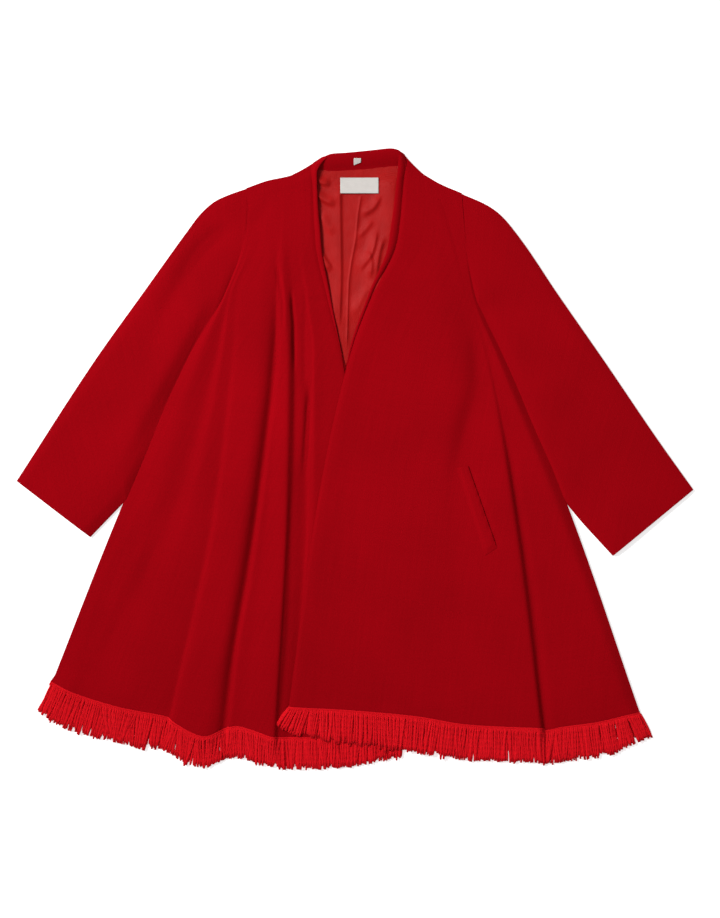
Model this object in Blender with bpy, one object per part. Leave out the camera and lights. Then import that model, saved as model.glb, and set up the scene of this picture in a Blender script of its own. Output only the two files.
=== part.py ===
"""A red wool cape coat with a fringed hem, laid flat on its back.

The coat lies on Z = 0 with its neck towards +Y, and the wearer's right is towards -X.
The tables are in millimetres, and every mesh that is made from them is in metres.
"""

from collections import namedtuple

import bmesh
import bpy
import numpy as np
from mathutils import Vector
from mathutils.bvhtree import BVHTree

MM = 0.001

# Walls and the gaps between pieces.
CLOTH = 2.0
LINING_CLOTH = 1.0
SEAM = 0.3
SIDE_GAP = 0.6
TRIM_GAP = 0.5
HEM_GAP = 0.6

# Height of a panel's upper face where it is sewn to the panel under it.
EDGE = CLOTH + SEAM + CLOTH

# Faces between two fold lines of a panel, and readings for each point of a smooth path.
STEPS_BETWEEN_LINES = 2
PATH_READINGS = 20

# The levels that the fold tables give, as shares of the way from shoulder to hem.
Level = namedtuple("Level", "share y")
CHEST = Level(0.11, 350)
ARMPIT = Level(0.21, 263)
RIBS = Level(0.32, 166)
WAIST = Level(0.59, -66)
LEVEL_SHARES = (0.0, CHEST.share, ARMPIT.share, RIBS.share, WAIST.share, 1.0)

# Rows of points down a panel. Its neighbours at the armhole and the side share them.
ARMHOLE_ROWS = np.linspace(0.0, ARMPIT.share, 8)
SIDE_ROWS = np.linspace(ARMPIT.share, WAIST.share, 8)
SKIRT_ROWS = np.linspace(WAIST.share, 1.0, 9)
PANEL_ROWS = np.concatenate([ARMHOLE_ROWS, SIDE_ROWS[1:], SKIRT_ROWS[1:]])

# A fold line runs from shoulder to hem: its x at each level, and the height of the cloth there.
FoldLine = namedtuple(
    "FoldLine",
    "chest armpit ribs waist hem hem_y "
    "chest_lift armpit_lift ribs_lift waist_lift hem_lift",
)
Panel = namedtuple("Panel", "shoulder shoulder_lift lines")

FRONT_RIGHT = Panel(
    shoulder=((-174, 433), (-140, 445), (-104, 453), (-80, 465), (-66, 474)),
    shoulder_lift=(EDGE, 7.0),
    lines=(
        # side edge, its roll and the trough beside the roll
        FoldLine(-179, -210, -270, -365, -485, -358, 6.2, EDGE, EDGE, EDGE, EDGE),
        FoldLine(-174, -206, -249, -338, -458, -372, 6.6, 7.4, 10.5, 10.5, 8.0),
        FoldLine(-169, -202, -235, -312, -437, -380, 6.8, 7.2, 7.6, 8.6, 7.0),
        FoldLine(-163, -197, -216, -272, -376, -398, 7.0, 8.0, 9.6, 10.4, 8.4),
        # the broad fold, from its soft foot to its sharp crease
        FoldLine(-155, -190, -198, -227, -300, -414, 7.0, 7.5, 7.4, 7.2, 6.0),
        FoldLine(-147, -179, -186, -213, -284, -431, 7.2, 8.4, 9.8, 10.8, 13.0),
        FoldLine(-136, -149, -154, -179, -238, -445, 7.4, 9.5, 12.6, 14.4, 13.0),
        FoldLine(-126, -128, -134, -162, -218, -432, 7.2, 6.2, 5.8, 5.8, 5.5),
        # the second fold and the deepest crease
        FoldLine(-121, -122, -128, -149, -198, -426, 7.6, 8.5, 9.5, 9.6, 9.0),
        FoldLine(-114, -113, -114, -120, -146, -445, 8.0, 11.0, 13.6, 14.0, 12.0),
        FoldLine(-106, -104, -101, -106, -127, -446, 7.4, 6.0, 5.6, 5.4, 5.4),
        FoldLine(-99, -96, -93, -94, -114, -446, 7.5, 7.2, 7.0, 6.6, 6.0),
        # the short third crease, the narrow fold and the strip under the other front
        FoldLine(-91, -86, -83, -85, -94, -446, 7.5, 7.2, 6.8, 6.4, 6.0),
        FoldLine(-82, -77, -70, -74, -78, -446, 7.8, 9.0, 9.5, 8.4, 6.4),
        FoldLine(-70, -61, -46, -53, -24, -444, 7.8, 7.8, 7.2, 6.8, 6.6),
        FoldLine(-62, -44, -22, 18, 75, -428, 7.6, 7.2, 6.6, 6.4, 6.2),
    ),
)

FRONT_LEFT = Panel(
    shoulder=((81, 484), (91, 470), (109, 454), (136, 439), (171, 425)),
    shoulder_lift=(7.0, EDGE),
    lines=(
        # front edge, its roll and the plain front
        FoldLine(68, 28, -8, -59, -106, -397, 7.6, 8.6, 10.0, 11.0, 10.0),
        FoldLine(78, 40, 5, -46, -93, -398, 9.2, 10.0, 11.0, 11.8, 10.6),
        FoldLine(91, 67, 37, -8, -32, -401, 9.6, 10.0, 10.5, 10.5, 9.6),
        FoldLine(110, 101, 88, 80, 96, -412, 10.0, 10.4, 10.5, 10.0, 8.8),
        FoldLine(126, 130, 133, 136, 160, -423, 9.4, 10.0, 10.0, 9.6, 8.2),
        # the soft trough that falls from the armpit
        FoldLine(142, 168, 178, 149, 184, -426, 8.4, 7.8, 7.2, 8.4, 8.0),
        FoldLine(152, 176, 190, 197, 232, -429, 7.6, 7.6, 9.5, 11.6, 10.6),
        # the side fold and its sharp crease
        FoldLine(158, 181, 202, 243, 285, -431, 7.2, 7.4, 10.5, 14.0, 12.5),
        FoldLine(163, 184, 210, 253, 297, -435, 7.0, 7.2, 8.4, 6.4, 6.0),
        FoldLine(167, 186, 216, 267, 313, -430, 6.8, 7.0, 9.0, 8.2, 7.6),
        # the side, its roll and its edge
        FoldLine(171, 188, 222, 296, 382, -422, 6.6, 6.8, 9.8, 10.6, 8.8),
        FoldLine(174, 190, 227, 317, 437, -410, 6.4, 6.4, 9.6, 11.0, 8.4),
        FoldLine(177, 192, 232, 334, 456, -406, 6.2, EDGE, EDGE, EDGE, EDGE),
    ),
)

# The back lies under the fronts: its neck, and its hem a little above theirs.
BACK_NECK = ((-46, 455), (0, 459), (56, 465))
BACK_HEM = (
    (-488, -357),
    (-376, -389),
    (-301, -405),
    (-152, -415),
    (-16, -412),
    (88, -405),
    (296, -421),
    (389, -412),
    (452, -400),
)
BACK_HEM_POINTS = 26

# A sleeve's top edge from shoulder to cuff, and the part of its lower edge past the body's side.
Sleeve = namedtuple("Sleeve", "panel line outward top_edge low_end")
SLEEVE_RIGHT = Sleeve(
    panel=FRONT_RIGHT,
    line=0,
    outward=-1,
    top_edge=((-200, 423), (-224, 412), (-248, 391), (-267, 366), (-341, 263), (-416, 158), (-542, -36)),
    low_end=((-397, -98), (-424, -126)),
)
SLEEVE_LEFT = Sleeve(
    panel=FRONT_LEFT,
    line=-1,
    outward=1,
    top_edge=((211, 406), (232, 391), (264, 353), (325, 263), (398, 158), (485, 30), (542, -50)),
    low_end=((360, -98), (389, -130), (413, -156)),
)
# Points of a sleeve's lower edge past the body's side, and faces for each row of the armhole.
SLEEVE_END_POINTS = 5
STEPS_BETWEEN_ROWS = 2

# Lines along a sleeve, by their share of its width: the height of the cloth at each end.
SleeveLine = namedtuple("SleeveLine", "share armhole elbow cuff")
SLEEVE_LINES = (
    SleeveLine(0.00, EDGE, EDGE, EDGE),
    SleeveLine(0.09, 5.4, 7.4, 6.8),
    SleeveLine(0.22, 5.9, 8.0, 7.5),
    SleeveLine(0.45, 6.2, 9.2, 8.8),
    SleeveLine(0.66, 6.2, 9.2, 8.8),
    SleeveLine(0.86, 5.8, 6.6, 7.4),
    SleeveLine(1.00, EDGE, EDGE, EDGE),
)

# The neck band: on the fronts it grows from the panel's edge, round the back it stands up.
BandFront = namedtuple("BandFront", "share width rise crown")
BAND_ON_RIGHT_FRONT = (
    BandFront(0.030, 8.0, 5.0, 0.8),
    BandFront(0.060, 8.0, 3.0, 1.2),
    BandFront(0.100, 9.0, 2.0, 1.2),
    BandFront(0.150, 7.0, 1.0, 0.8),
    BandFront(0.210, 3.0, 0.3, 0.3),
)
BAND_ON_LEFT_FRONT = (
    BandFront(0.030, 12.0, 8.0, 1.0),
    BandFront(0.060, 14.0, 6.0, 2.0),
    BandFront(0.100, 16.0, 4.0, 3.0),
    BandFront(0.150, 14.0, 3.0, 2.5),
    BandFront(0.210, 9.0, 1.5, 1.5),
    BandFront(0.280, 5.0, 0.6, 0.6),
)
BandBack = namedtuple("BandBack", "foot_x foot_y foot_lift edge_x edge_y edge_lift")
BAND_ROUND_BACK = (
    BandBack(-63.4, 458, 6.2, -56, 461, 11.5),
    BandBack(-63.0, 469, 6.4, -55, 475, 12.5),
    BandBack(-57, 475, 6.4, -50, 483, 12.5),
    BandBack(-46, 461, 3.6, -38, 487, 12.5),
    BandBack(-21, 461, 3.4, -16, 488, 11.5),
    BandBack(21, 464, 3.4, 24, 492, 11.5),
    BandBack(55, 468, 3.6, 58, 495, 13.0),
    BandBack(75, 479, 6.4, 72, 492, 15.0),
)
BAND_STEPS = 3
BAND_RIGHT_ROWS = 7
BAND_LEFT_ROWS = 8

# The lining that shows in the neck, and its two standing pleats.
LiningRow = namedtuple("LiningRow", "y_left y_right left right")
LINING_ROWS = (
    LiningRow(452, 461, -58, 70),
    LiningRow(426, 430, -78, 92),
    LiningRow(350, 350, -76, 86),
    LiningRow(254, 254, -60, 44),
    LiningRow(158, 158, -40, 12),
    LiningRow(62, 62, -28, -6),
)
LINING_LIFT = CLOTH + SEAM + LINING_CLOTH
LINING_ALONG = 14
LINING_ACROSS = 20
Pleat = namedtuple("Pleat", "top_x low_x top_y low_y height half_width")
LINING_PLEATS = (
    Pleat(-24, -24, 430, 230, 1.2, 8.0),
    Pleat(10, -10, 425, 230, 1.4, 8.0),
)

# Trim on the lining, the band and the left front.
LABEL_CENTRE = (7, 437)
LABEL_SIZE = (61, 25)
LABEL_CLOTH = 0.6
LABEL_POINTS = (7, 4)
TAB_CORNERS = ((-2, 480), (9, 480), (10, 475), (9, 473), (-2, 469))
TAB_CLOTH = 0.8
WELT_OUTER = ((181, -12), (227, -143))
WELT_INNER = ((162, -15), (208, -156))
WELT_CLOTH = 1.6
WELT_FACES = (4, 14)

# The fringe: a braided heading along each hem, with the strands grown out of it.
# Along a hem, a turn gives the strands' lean in degrees, their length or the height of their tips.
HemTurn = namedtuple("HemTurn", "share value")
Fringe = namedtuple("Fringe", "strands heading thickness lean length tips")
FRINGE_FRONT_RIGHT = Fringe(
    strands=86,
    heading=8.0,
    thickness=1.8,
    lean=(
        HemTurn(0.0, -25),
        HemTurn(0.1, -17),
        HemTurn(0.29, -9),
        HemTurn(0.36, -13),
        HemTurn(0.46, -3),
        HemTurn(0.52, 2),
        HemTurn(1.0, 0),
    ),
    length=(HemTurn(0.0, 39), HemTurn(0.08, 49), HemTurn(0.28, 48), HemTurn(0.36, 42), HemTurn(1.0, 42)),
    tips=(HemTurn(0.0, 2.8), HemTurn(1.0, 2.8)),
)
FRINGE_FRONT_LEFT = Fringe(
    strands=86,
    heading=8.0,
    thickness=1.8,
    lean=(
        HemTurn(0.0, -30),
        HemTurn(0.04, -16),
        HemTurn(0.1, -4),
        HemTurn(0.3, 0),
        HemTurn(0.42, -6),
        HemTurn(0.55, -2),
        HemTurn(0.8, 2),
        HemTurn(0.92, 11),
        HemTurn(1.0, 30),
    ),
    length=(HemTurn(0.0, 30), HemTurn(0.1, 42), HemTurn(0.3, 49), HemTurn(0.9, 45), HemTurn(1.0, 37)),
    tips=(HemTurn(0.0, 7.6), HemTurn(0.36, 7.6), HemTurn(0.5, 2.8), HemTurn(1.0, 2.8)),
)
FRINGE_BACK = Fringe(
    strands=60,
    heading=8.0,
    thickness=1.6,
    lean=(HemTurn(0.0, -24), HemTurn(0.15, -10), HemTurn(0.5, 0), HemTurn(0.85, 8), HemTurn(1.0, 26)),
    length=(HemTurn(0.0, 36), HemTurn(0.1, 42), HemTurn(0.9, 42), HemTurn(1.0, 36)),
    tips=(HemTurn(0.0, 0.3), HemTurn(1.0, 0.3)),
)
STRAND_SHARE = 0.6
STRAND_TAPER = 0.8
STRAND_UNEVEN = 0.06
STRAND_WAVE = 2.4

Finish = namedtuple("Finish", "name colour roughness")
WOOL = Finish("red_wool", (0.36, 0.002, 0.007), 0.9)
SATIN = Finish("lining_satin", (0.48, 0.018, 0.018), 0.4)
YARN = Finish("fringe_yarn", (0.50, 0.004, 0.009), 0.85)
WOVEN_LABEL = Finish("white_label", (0.82, 0.79, 0.75), 0.6)
# Degrees between two faces from which their edge stays sharp.
SHARP_FROM = 50


def smooth_through(knots, values, at):
    """Read a curve that passes through every knot and never swings past one.

    values has a row for each knot, and the result has a row for each place in at.
    """
    knots = np.asarray(knots, float)
    values = np.asarray(values, float).reshape(len(knots), -1)
    at = np.clip(np.atleast_1d(at), knots[0], knots[-1])
    step = np.diff(knots)[:, None]
    slope = np.diff(values, axis=0) / step
    product = slope[:-1] * slope[1:]
    total = np.where(product > 0, slope[:-1] + slope[1:], 1.0)
    inner = np.where(product > 0, 2 * product / total, 0.0)
    tangent = np.vstack([slope[:1], inner, slope[-1:]])
    low = np.clip(np.searchsorted(knots, at, side="right") - 1, 0, len(knots) - 2)
    part = ((at - knots[low]) / step[low, 0])[:, None]
    leaving = tangent[low] * step[low]
    arriving = tangent[low + 1] * step[low]
    return (
        values[low] * (1 + 2 * part) * (1 - part) ** 2
        + leaving * part * (1 - part) ** 2
        + values[low + 1] * (3 - 2 * part) * part**2
        - arriving * (1 - part) * part**2
    )


def along_path(points, count):
    """Spread count points evenly along a smooth path through the given ones."""
    points = np.asarray(points, float)
    reach = np.concatenate([[0], np.cumsum(np.linalg.norm(np.diff(points, axis=0), axis=1))])
    fine = smooth_through(reach, points, np.linspace(0, reach[-1], PATH_READINGS * len(points)))
    reach = np.concatenate([[0], np.cumsum(np.linalg.norm(np.diff(fine, axis=0), axis=1))])
    return np.column_stack(
        [np.interp(np.linspace(0, reach[-1], count), reach, column) for column in fine.T]
    )


def panel_points(panel, across, along):
    """Points of a panel's upper face, at shares of its width and of its length."""
    lines = panel.lines
    place = np.linspace(0, 1, len(lines))
    shoulder = along_path(panel.shoulder, len(lines))
    shoulder_lift = np.interp(place, (0, 1), panel.shoulder_lift)
    table = np.array(
        [
            [
                (x, y, lift),
                (line.chest, CHEST.y, line.chest_lift),
                (line.armpit, ARMPIT.y, line.armpit_lift),
                (line.ribs, RIBS.y, line.ribs_lift),
                (line.waist, WAIST.y, line.waist_lift),
                (line.hem, line.hem_y, line.hem_lift),
            ]
            for line, (x, y), lift in zip(lines, shoulder, shoulder_lift)
        ]
    )
    by_level = table.transpose(1, 0, 2).reshape(len(LEVEL_SHARES), -1)
    rows = smooth_through(LEVEL_SHARES, by_level, along).reshape(len(along), len(lines), 3)
    by_line = rows.transpose(1, 0, 2).reshape(len(lines), -1)
    fine = smooth_through(place, by_line, across)
    return fine.reshape(len(across), len(along), 3)


def line_points(panel, line, along):
    """Points along one fold line, at shares of its length."""
    place = np.linspace(0, 1, len(panel.lines))[line]
    return panel_points(panel, np.array([place]), np.asarray(along, float))[0]


def panel_columns(panel):
    """Shares of a panel's width at which its mesh has points."""
    return np.linspace(0, 1, (len(panel.lines) - 1) * STEPS_BETWEEN_LINES + 1)


def sheet_mesh(points):
    """A grid of faces through rows of points."""
    across, along = points.shape[:2]
    mesh = bmesh.new()
    bmesh.ops.create_grid(mesh, x_segments=across - 1, y_segments=along - 1, size=0.5)
    row = mesh.verts.layers.int.new("row")
    column = mesh.verts.layers.int.new("column")
    for vert in mesh.verts:
        vert[row] = round((vert.co.x + 0.5) * (across - 1))
        vert[column] = round((vert.co.y + 0.5) * (along - 1))
        vert.co = Vector(points[vert[row], vert[column]]) * MM
    return mesh


def thicken(mesh, wall):
    """Give a sheet its wall by extruding all of it straight down."""
    region = bmesh.ops.extrude_face_region(mesh, geom=mesh.faces[:], use_keep_orig=True)
    moved = [part for part in region["geom"] if isinstance(part, bmesh.types.BMVert)]
    bmesh.ops.translate(mesh, verts=moved, vec=(0, 0, -wall * MM))
    bmesh.ops.recalc_face_normals(mesh, faces=mesh.faces[:])


def plate_mesh(outline, wall):
    """A flat plate on Z = 0 with the given outline."""
    mesh = bmesh.new()
    mesh.faces.new([mesh.verts.new((x * MM, y * MM, wall * MM)) for x, y in outline])
    thicken(mesh, wall)
    return mesh


def make_material(finish):
    """A plain material with a finish's colour and roughness."""
    material = bpy.data.materials.get(finish.name) or bpy.data.materials.new(finish.name)
    material.use_nodes = True
    shader = material.node_tree.nodes["Principled BSDF"]
    shader.inputs["Base Color"].default_value = (*finish.colour, 1.0)
    shader.inputs["Roughness"].default_value = finish.roughness
    shader.inputs["Metallic"].default_value = 0.0
    return material


def add_piece(name, mesh, finish):
    """Turn a finished bmesh into a named, smooth-shaded object."""
    data = bpy.data.meshes.new(name)
    mesh.to_mesh(data)
    mesh.free()
    data.shade_smooth()
    data.set_sharp_from_angle(angle=np.radians(SHARP_FROM))
    data.materials.append(make_material(finish))
    piece = bpy.data.objects.new(name, data)
    bpy.context.scene.collection.objects.link(piece)
    return piece


def add_panel(name, panel):
    """A front panel, folded along its lines."""
    mesh = sheet_mesh(panel_points(panel, panel_columns(panel), PANEL_ROWS))
    thicken(mesh, CLOTH)
    return add_piece(name, mesh, WOOL)


def add_back():
    """The back, which lies flat under both fronts."""
    right_side = line_points(FRONT_RIGHT, 0, PANEL_ROWS[:-1])[:, :2]
    left_side = line_points(FRONT_LEFT, -1, PANEL_ROWS[:-1])[::-1, :2]
    hem = along_path(BACK_HEM, BACK_HEM_POINTS)
    neck = [*FRONT_LEFT.shoulder[-2::-1], *BACK_NECK[::-1], *FRONT_RIGHT.shoulder[:0:-1]]
    outline = np.vstack([right_side, hem, left_side, neck])
    return add_piece("back", plate_mesh(outline, CLOTH), WOOL)


def sleeve_edges(sleeve):
    """The four edges of a sleeve, as points in plan: top, lower, armhole and cuff."""
    seam = np.array([sleeve.outward * SEAM, 0])
    beside = np.array([sleeve.outward * SIDE_GAP, 0])
    rows = line_points(sleeve.panel, sleeve.line, ARMHOLE_ROWS)[:, :2] + seam
    places = np.linspace(0, len(rows) - 1, (len(rows) - 1) * STEPS_BETWEEN_ROWS + 1)
    armhole = np.column_stack([np.interp(places, range(len(rows)), column) for column in rows.T])
    side = line_points(sleeve.panel, sleeve.line, SIDE_ROWS)[1:, :2] + beside
    end = along_path(np.vstack([side[-1:], sleeve.low_end]), SLEEVE_END_POINTS)
    low = np.vstack([armhole[-1:], side, end[1:]])
    top = along_path(np.vstack([armhole[:1], sleeve.top_edge]), len(low))
    cuff = along_path(np.vstack([top[-1:], low[-1:]]), len(armhole))
    return top, low, armhole, cuff


def add_sleeve(name, sleeve):
    """A laid sleeve: a flat under half, and an upper half that lies over it in soft folds."""
    top, low, armhole, cuff = sleeve_edges(sleeve)
    outline = np.vstack([top, cuff[1:], low[::-1][1:], armhole[::-1][1:-1]])
    add_piece(f"{name}_under", plate_mesh(outline, CLOTH), WOOL)

    along = np.linspace(0, 1, len(top))[:, None, None]
    across = np.linspace(0, 1, len(cuff))
    over = across[None, :, None]
    between_edges = top[:, None] * (1 - over) + low[:, None] * over
    between_ends = armhole[None] * (1 - along) + cuff[None] * along
    corners = (
        (top[0] * (1 - over) + low[0] * over) * (1 - along)
        + (top[-1] * (1 - over) + low[-1] * over) * along
    )
    plan = between_edges + between_ends - corners
    shares = [line.share for line in SLEEVE_LINES]
    heights = [(line.armhole, line.elbow, line.cuff) for line in SLEEVE_LINES]
    at_ends = smooth_through(shares, heights, across)
    lift = smooth_through((0, 0.5, 1), at_ends.T, along[:, 0, 0])
    mesh = sheet_mesh(np.dstack([plan, lift]))
    thicken(mesh, CLOTH)
    add_piece(f"{name}_upper", mesh, WOOL)


def band_on_front(panel, line, inward, rows, shares):
    """Foot, middle and edge of the band at each share of a front edge, clear of the panel."""
    table = smooth_through([row.share for row in rows], rows, shares)
    stations = []
    for (x, y, lift), (_, width, rise, crown) in zip(line_points(panel, line, shares), table):
        steep = rise + 2 * crown
        clear = SEAM + CLOTH / 2 * steep / np.hypot(steep, width)
        foot = np.array([x + inward * clear, y, lift - CLOTH / 2])
        edge = foot + (inward * width, 0, rise)
        stations.append((foot, (foot + edge) / 2 + (0, 0, crown), edge))
    return np.array(stations)


def band_round_back(before, after):
    """Foot, middle and edge of the band round the neck, between its stations on the fronts."""
    rows = np.array(BAND_ROUND_BACK, float)
    foot, edge = rows[:, :3], rows[:, 3:]
    stations = np.stack([foot, (foot + edge) / 2, edge], axis=1)
    stations = np.concatenate([before[None], stations, after[None]])
    count = len(stations)
    places = np.linspace(0, count - 1, (count - 1) * BAND_STEPS + 1)
    return smooth_through(range(count), stations, places).reshape(-1, 3, 3)[1:-1]


def add_band():
    """The neck band, as one strip of cloth that leans in on the fronts and out at the back."""
    rows = np.concatenate([ARMHOLE_ROWS[1:], SIDE_ROWS[1:]])
    right = band_on_front(FRONT_RIGHT, -1, 1, BAND_ON_RIGHT_FRONT, rows[BAND_RIGHT_ROWS - 1 :: -1])
    left = band_on_front(FRONT_LEFT, 0, -1, BAND_ON_LEFT_FRONT, rows[:BAND_LEFT_ROWS])
    round_back = band_round_back(right[-1], left[0])
    mesh = sheet_mesh(np.concatenate([right, round_back, left]))
    band = add_piece("collar_band", mesh, WOOL)
    wall = band.modifiers.new("wall", "SOLIDIFY")
    wall.thickness = CLOTH * MM
    wall.offset = 0.0
    return band


def add_lining():
    """The back lining, from the neck seam to below the point where the fronts cross."""
    along = np.linspace(0, 1, LINING_ALONG + 1)
    across = np.linspace(0, 1, LINING_ACROSS + 1)
    rows = smooth_through(np.linspace(0, 1, len(LINING_ROWS)), LINING_ROWS, along)
    y_left, y_right, left, right = rows.T
    x = left + (right - left) * across[:, None]
    y = y_left + (y_right - y_left) * across[:, None]
    lift = np.full_like(x, LINING_LIFT)
    for pleat in LINING_PLEATS:
        drop = np.clip((pleat.top_y - y) / (pleat.top_y - pleat.low_y), 0, 1)
        middle = pleat.top_x + (pleat.low_x - pleat.top_x) * drop
        away = np.clip(np.abs(x - middle) / pleat.half_width, 0, 1)
        lift += pleat.height * (1 - away**2) ** 2 * np.sin(np.pi * drop)
    mesh = sheet_mesh(np.dstack([x, y, lift]))
    thicken(mesh, LINING_CLOTH)
    return add_piece("lining_back", mesh, SATIN)


def height_on(piece):
    """A function that gives the height of a piece's upper face over a point."""
    tree = BVHTree.FromObject(piece, bpy.context.evaluated_depsgraph_get())
    high = Vector((0, 0, 1))

    def height(x, y):
        hit = tree.ray_cast(Vector((x * MM, y * MM, 0)) + high, -high)[0]
        return hit.z / MM

    return height


def laid_on(piece, plan, wall):
    """Lay a flat piece, given by rows of plan points, on another piece's upper face."""
    height = height_on(piece)
    lift = [[height(x, y) + TRIM_GAP + wall for x, y in row] for row in plan]
    mesh = sheet_mesh(np.dstack([plan, lift]))
    thicken(mesh, wall)
    return mesh


def add_label(lining):
    """The blank woven label under the back neck seam."""
    half = np.array(LABEL_SIZE) / 2
    x = np.linspace(-half[0], half[0], LABEL_POINTS[0]) + LABEL_CENTRE[0]
    y = np.linspace(-half[1], half[1], LABEL_POINTS[1]) + LABEL_CENTRE[1]
    plan = np.dstack(np.meshgrid(x, y, indexing="ij"))
    return add_piece("label", laid_on(lining, plan, LABEL_CLOTH), WOVEN_LABEL)


def add_tab(band):
    """The small folded size tab, which lies on the inner face of the band."""
    height = height_on(band)
    mesh = bmesh.new()
    corners = [Vector((x, y, height(x, y) + TRIM_GAP + TAB_CLOTH)) * MM for x, y in TAB_CORNERS]
    mesh.faces.new([mesh.verts.new(corner) for corner in corners])
    thicken(mesh, TAB_CLOTH)
    return add_piece("size_tab", mesh, WOVEN_LABEL)


def add_welt(front):
    """The welt of the slanted pocket, laid on the left front."""
    over, down = (np.linspace(0, 1, faces + 1) for faces in WELT_FACES)
    inner = np.array(WELT_INNER[0]) + np.subtract(*WELT_INNER[::-1]) * down[:, None]
    outer = np.array(WELT_OUTER[0]) + np.subtract(*WELT_OUTER[::-1]) * down[:, None]
    plan = inner + (outer - inner) * over[:, None, None]
    return add_piece("pocket_welt_left", laid_on(front, plan, WELT_CLOTH), WOOL)


def read_turns(turns, at):
    """Read a table of shares and values along a hem."""
    return smooth_through([turn.share for turn in turns], [turn.value for turn in turns], at)[:, 0]


def fringe_mesh(hem, fringe):
    """A heading along a hem, with every other face of its lower side drawn out as a strand."""
    pitch = 1 / fringe.strands
    centres = (np.arange(fringe.strands) + 0.5) * pitch
    halves = np.array([-0.5, 0.5]) * pitch * STRAND_SHARE
    rings = np.concatenate([[0], (centres[:, None] + halves).ravel(), [1]])
    reach = np.concatenate([[0], np.cumsum(np.linalg.norm(np.diff(hem, axis=0), axis=1))])
    points = np.column_stack([np.interp(rings * reach[-1], reach, column) for column in hem.T])
    lean = np.radians(read_turns(fringe.lean, rings))
    away = np.column_stack([np.sin(lean), -np.cos(lean), np.zeros_like(lean)])
    upper = points + away * HEM_GAP
    lower = points + away * (HEM_GAP + fringe.heading)
    mesh = sheet_mesh(np.stack([upper, lower], axis=1))
    thicken(mesh, fringe.thickness)

    ring, side = (mesh.verts.layers.int[name] for name in ("row", "column"))
    roots = [
        face
        for face in mesh.faces
        if all(vert[side] == 1 for vert in face.verts)
        and min(vert[ring] for vert in face.verts) % 2 == 1
    ]
    tips = read_turns(fringe.tips, centres)
    lengths = read_turns(fringe.length, centres)
    strand_lean = np.radians(read_turns(fringe.lean, centres))
    for face in bmesh.ops.extrude_discrete_faces(mesh, faces=roots)["faces"]:
        strand = min(vert[ring] for vert in face.verts) // 2
        uneven = 1 - STRAND_UNEVEN * (0.5 + 0.5 * np.sin(STRAND_WAVE * strand))
        reach_out = lengths[strand] * uneven
        centre = face.calc_center_median()
        level = (tips[strand] + fringe.thickness * STRAND_TAPER / 2) * MM
        end = Vector(
            (
                centre.x + np.sin(strand_lean[strand]) * reach_out * MM,
                centre.y - np.cos(strand_lean[strand]) * reach_out * MM,
                level,
            )
        )
        for vert in face.verts:
            vert.co = end + (vert.co - centre) * STRAND_TAPER
    return mesh


def add_fringes():
    """The fringe on the hem of each front and of the back."""
    for name, panel, fringe in (
        ("fringe_front_right", FRONT_RIGHT, FRINGE_FRONT_RIGHT),
        ("fringe_front_left", FRONT_LEFT, FRINGE_FRONT_LEFT),
    ):
        hem = panel_points(panel, panel_columns(panel), PANEL_ROWS[-1:])[:, 0]
        add_piece(name, fringe_mesh(hem, fringe), YARN)
    plan = along_path(BACK_HEM, BACK_HEM_POINTS)
    lift = np.full((len(plan), 1), FRINGE_BACK.thickness + SEAM)
    add_piece("fringe_back", fringe_mesh(np.hstack([plan, lift]), FRINGE_BACK), YARN)


def main():
    """Clear the scene and build the coat from the floor up."""
    for old in list(bpy.data.objects):
        bpy.data.objects.remove(old, do_unlink=True)
    add_back()
    add_sleeve("sleeve_right", SLEEVE_RIGHT)
    add_sleeve("sleeve_left", SLEEVE_LEFT)
    lining = add_lining()
    add_panel("front_right", FRONT_RIGHT)
    front_left = add_panel("front_left", FRONT_LEFT)
    band = add_band()
    bpy.context.view_layer.update()
    add_label(lining)
    add_tab(band)
    add_welt(front_left)
    add_fringes()


if __name__ == "__main__":
    main()
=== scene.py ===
"""A red wool cape coat laid flat on its back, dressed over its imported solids.

The coat lies on Z = 0 with its neck towards +Y, and the wearer's right is towards -X.
Tables are in millimetres. Meshes are in metres, with their place in their points.
"""

import logging
import math
from collections.abc import Callable
from dataclasses import dataclass
from enum import Enum
from typing import NamedTuple

import bmesh
import bpy
import numpy as np
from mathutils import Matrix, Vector
from mathutils.bvhtree import BVHTree


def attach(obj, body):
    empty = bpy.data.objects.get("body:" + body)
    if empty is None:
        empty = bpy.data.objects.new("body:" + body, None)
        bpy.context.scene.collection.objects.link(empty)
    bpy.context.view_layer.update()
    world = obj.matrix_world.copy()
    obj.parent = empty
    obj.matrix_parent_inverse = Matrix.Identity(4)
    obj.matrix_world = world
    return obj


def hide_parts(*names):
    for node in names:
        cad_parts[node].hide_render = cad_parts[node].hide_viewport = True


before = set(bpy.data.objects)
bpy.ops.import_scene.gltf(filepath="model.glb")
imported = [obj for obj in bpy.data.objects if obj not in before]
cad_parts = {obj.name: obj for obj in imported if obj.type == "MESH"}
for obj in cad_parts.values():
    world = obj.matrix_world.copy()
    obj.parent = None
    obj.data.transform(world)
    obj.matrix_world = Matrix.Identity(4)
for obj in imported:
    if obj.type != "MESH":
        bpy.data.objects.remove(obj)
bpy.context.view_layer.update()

log = logging.getLogger("cape_coat")

Points = np.ndarray
Pair = tuple[float, float]
Path2D = tuple[Pair, ...]
Triple = tuple[float, float, float]
Colour = Triple
Height = Callable[[Points, Points], Points]

MM = 0.001
BODY = "root"
WEAVE_MAP = "weave"
TONE = "tone"

# Walls and the gaps between pieces.
CLOTH = 2.0
LINING_CLOTH = 1.0
SEAM = 0.3
TRIM_GAP = 0.5
EDGE = CLOTH + SEAM + CLOTH

# Readings taken along a smooth path, for each of its points and for each crease.
PATH_READINGS = 20
CREASE_READINGS = 64

# The shortest and the longest of the plain waves in a swell, for a typical length of 1.
WAVE_STRETCH = (0.7, 1.6)

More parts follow.
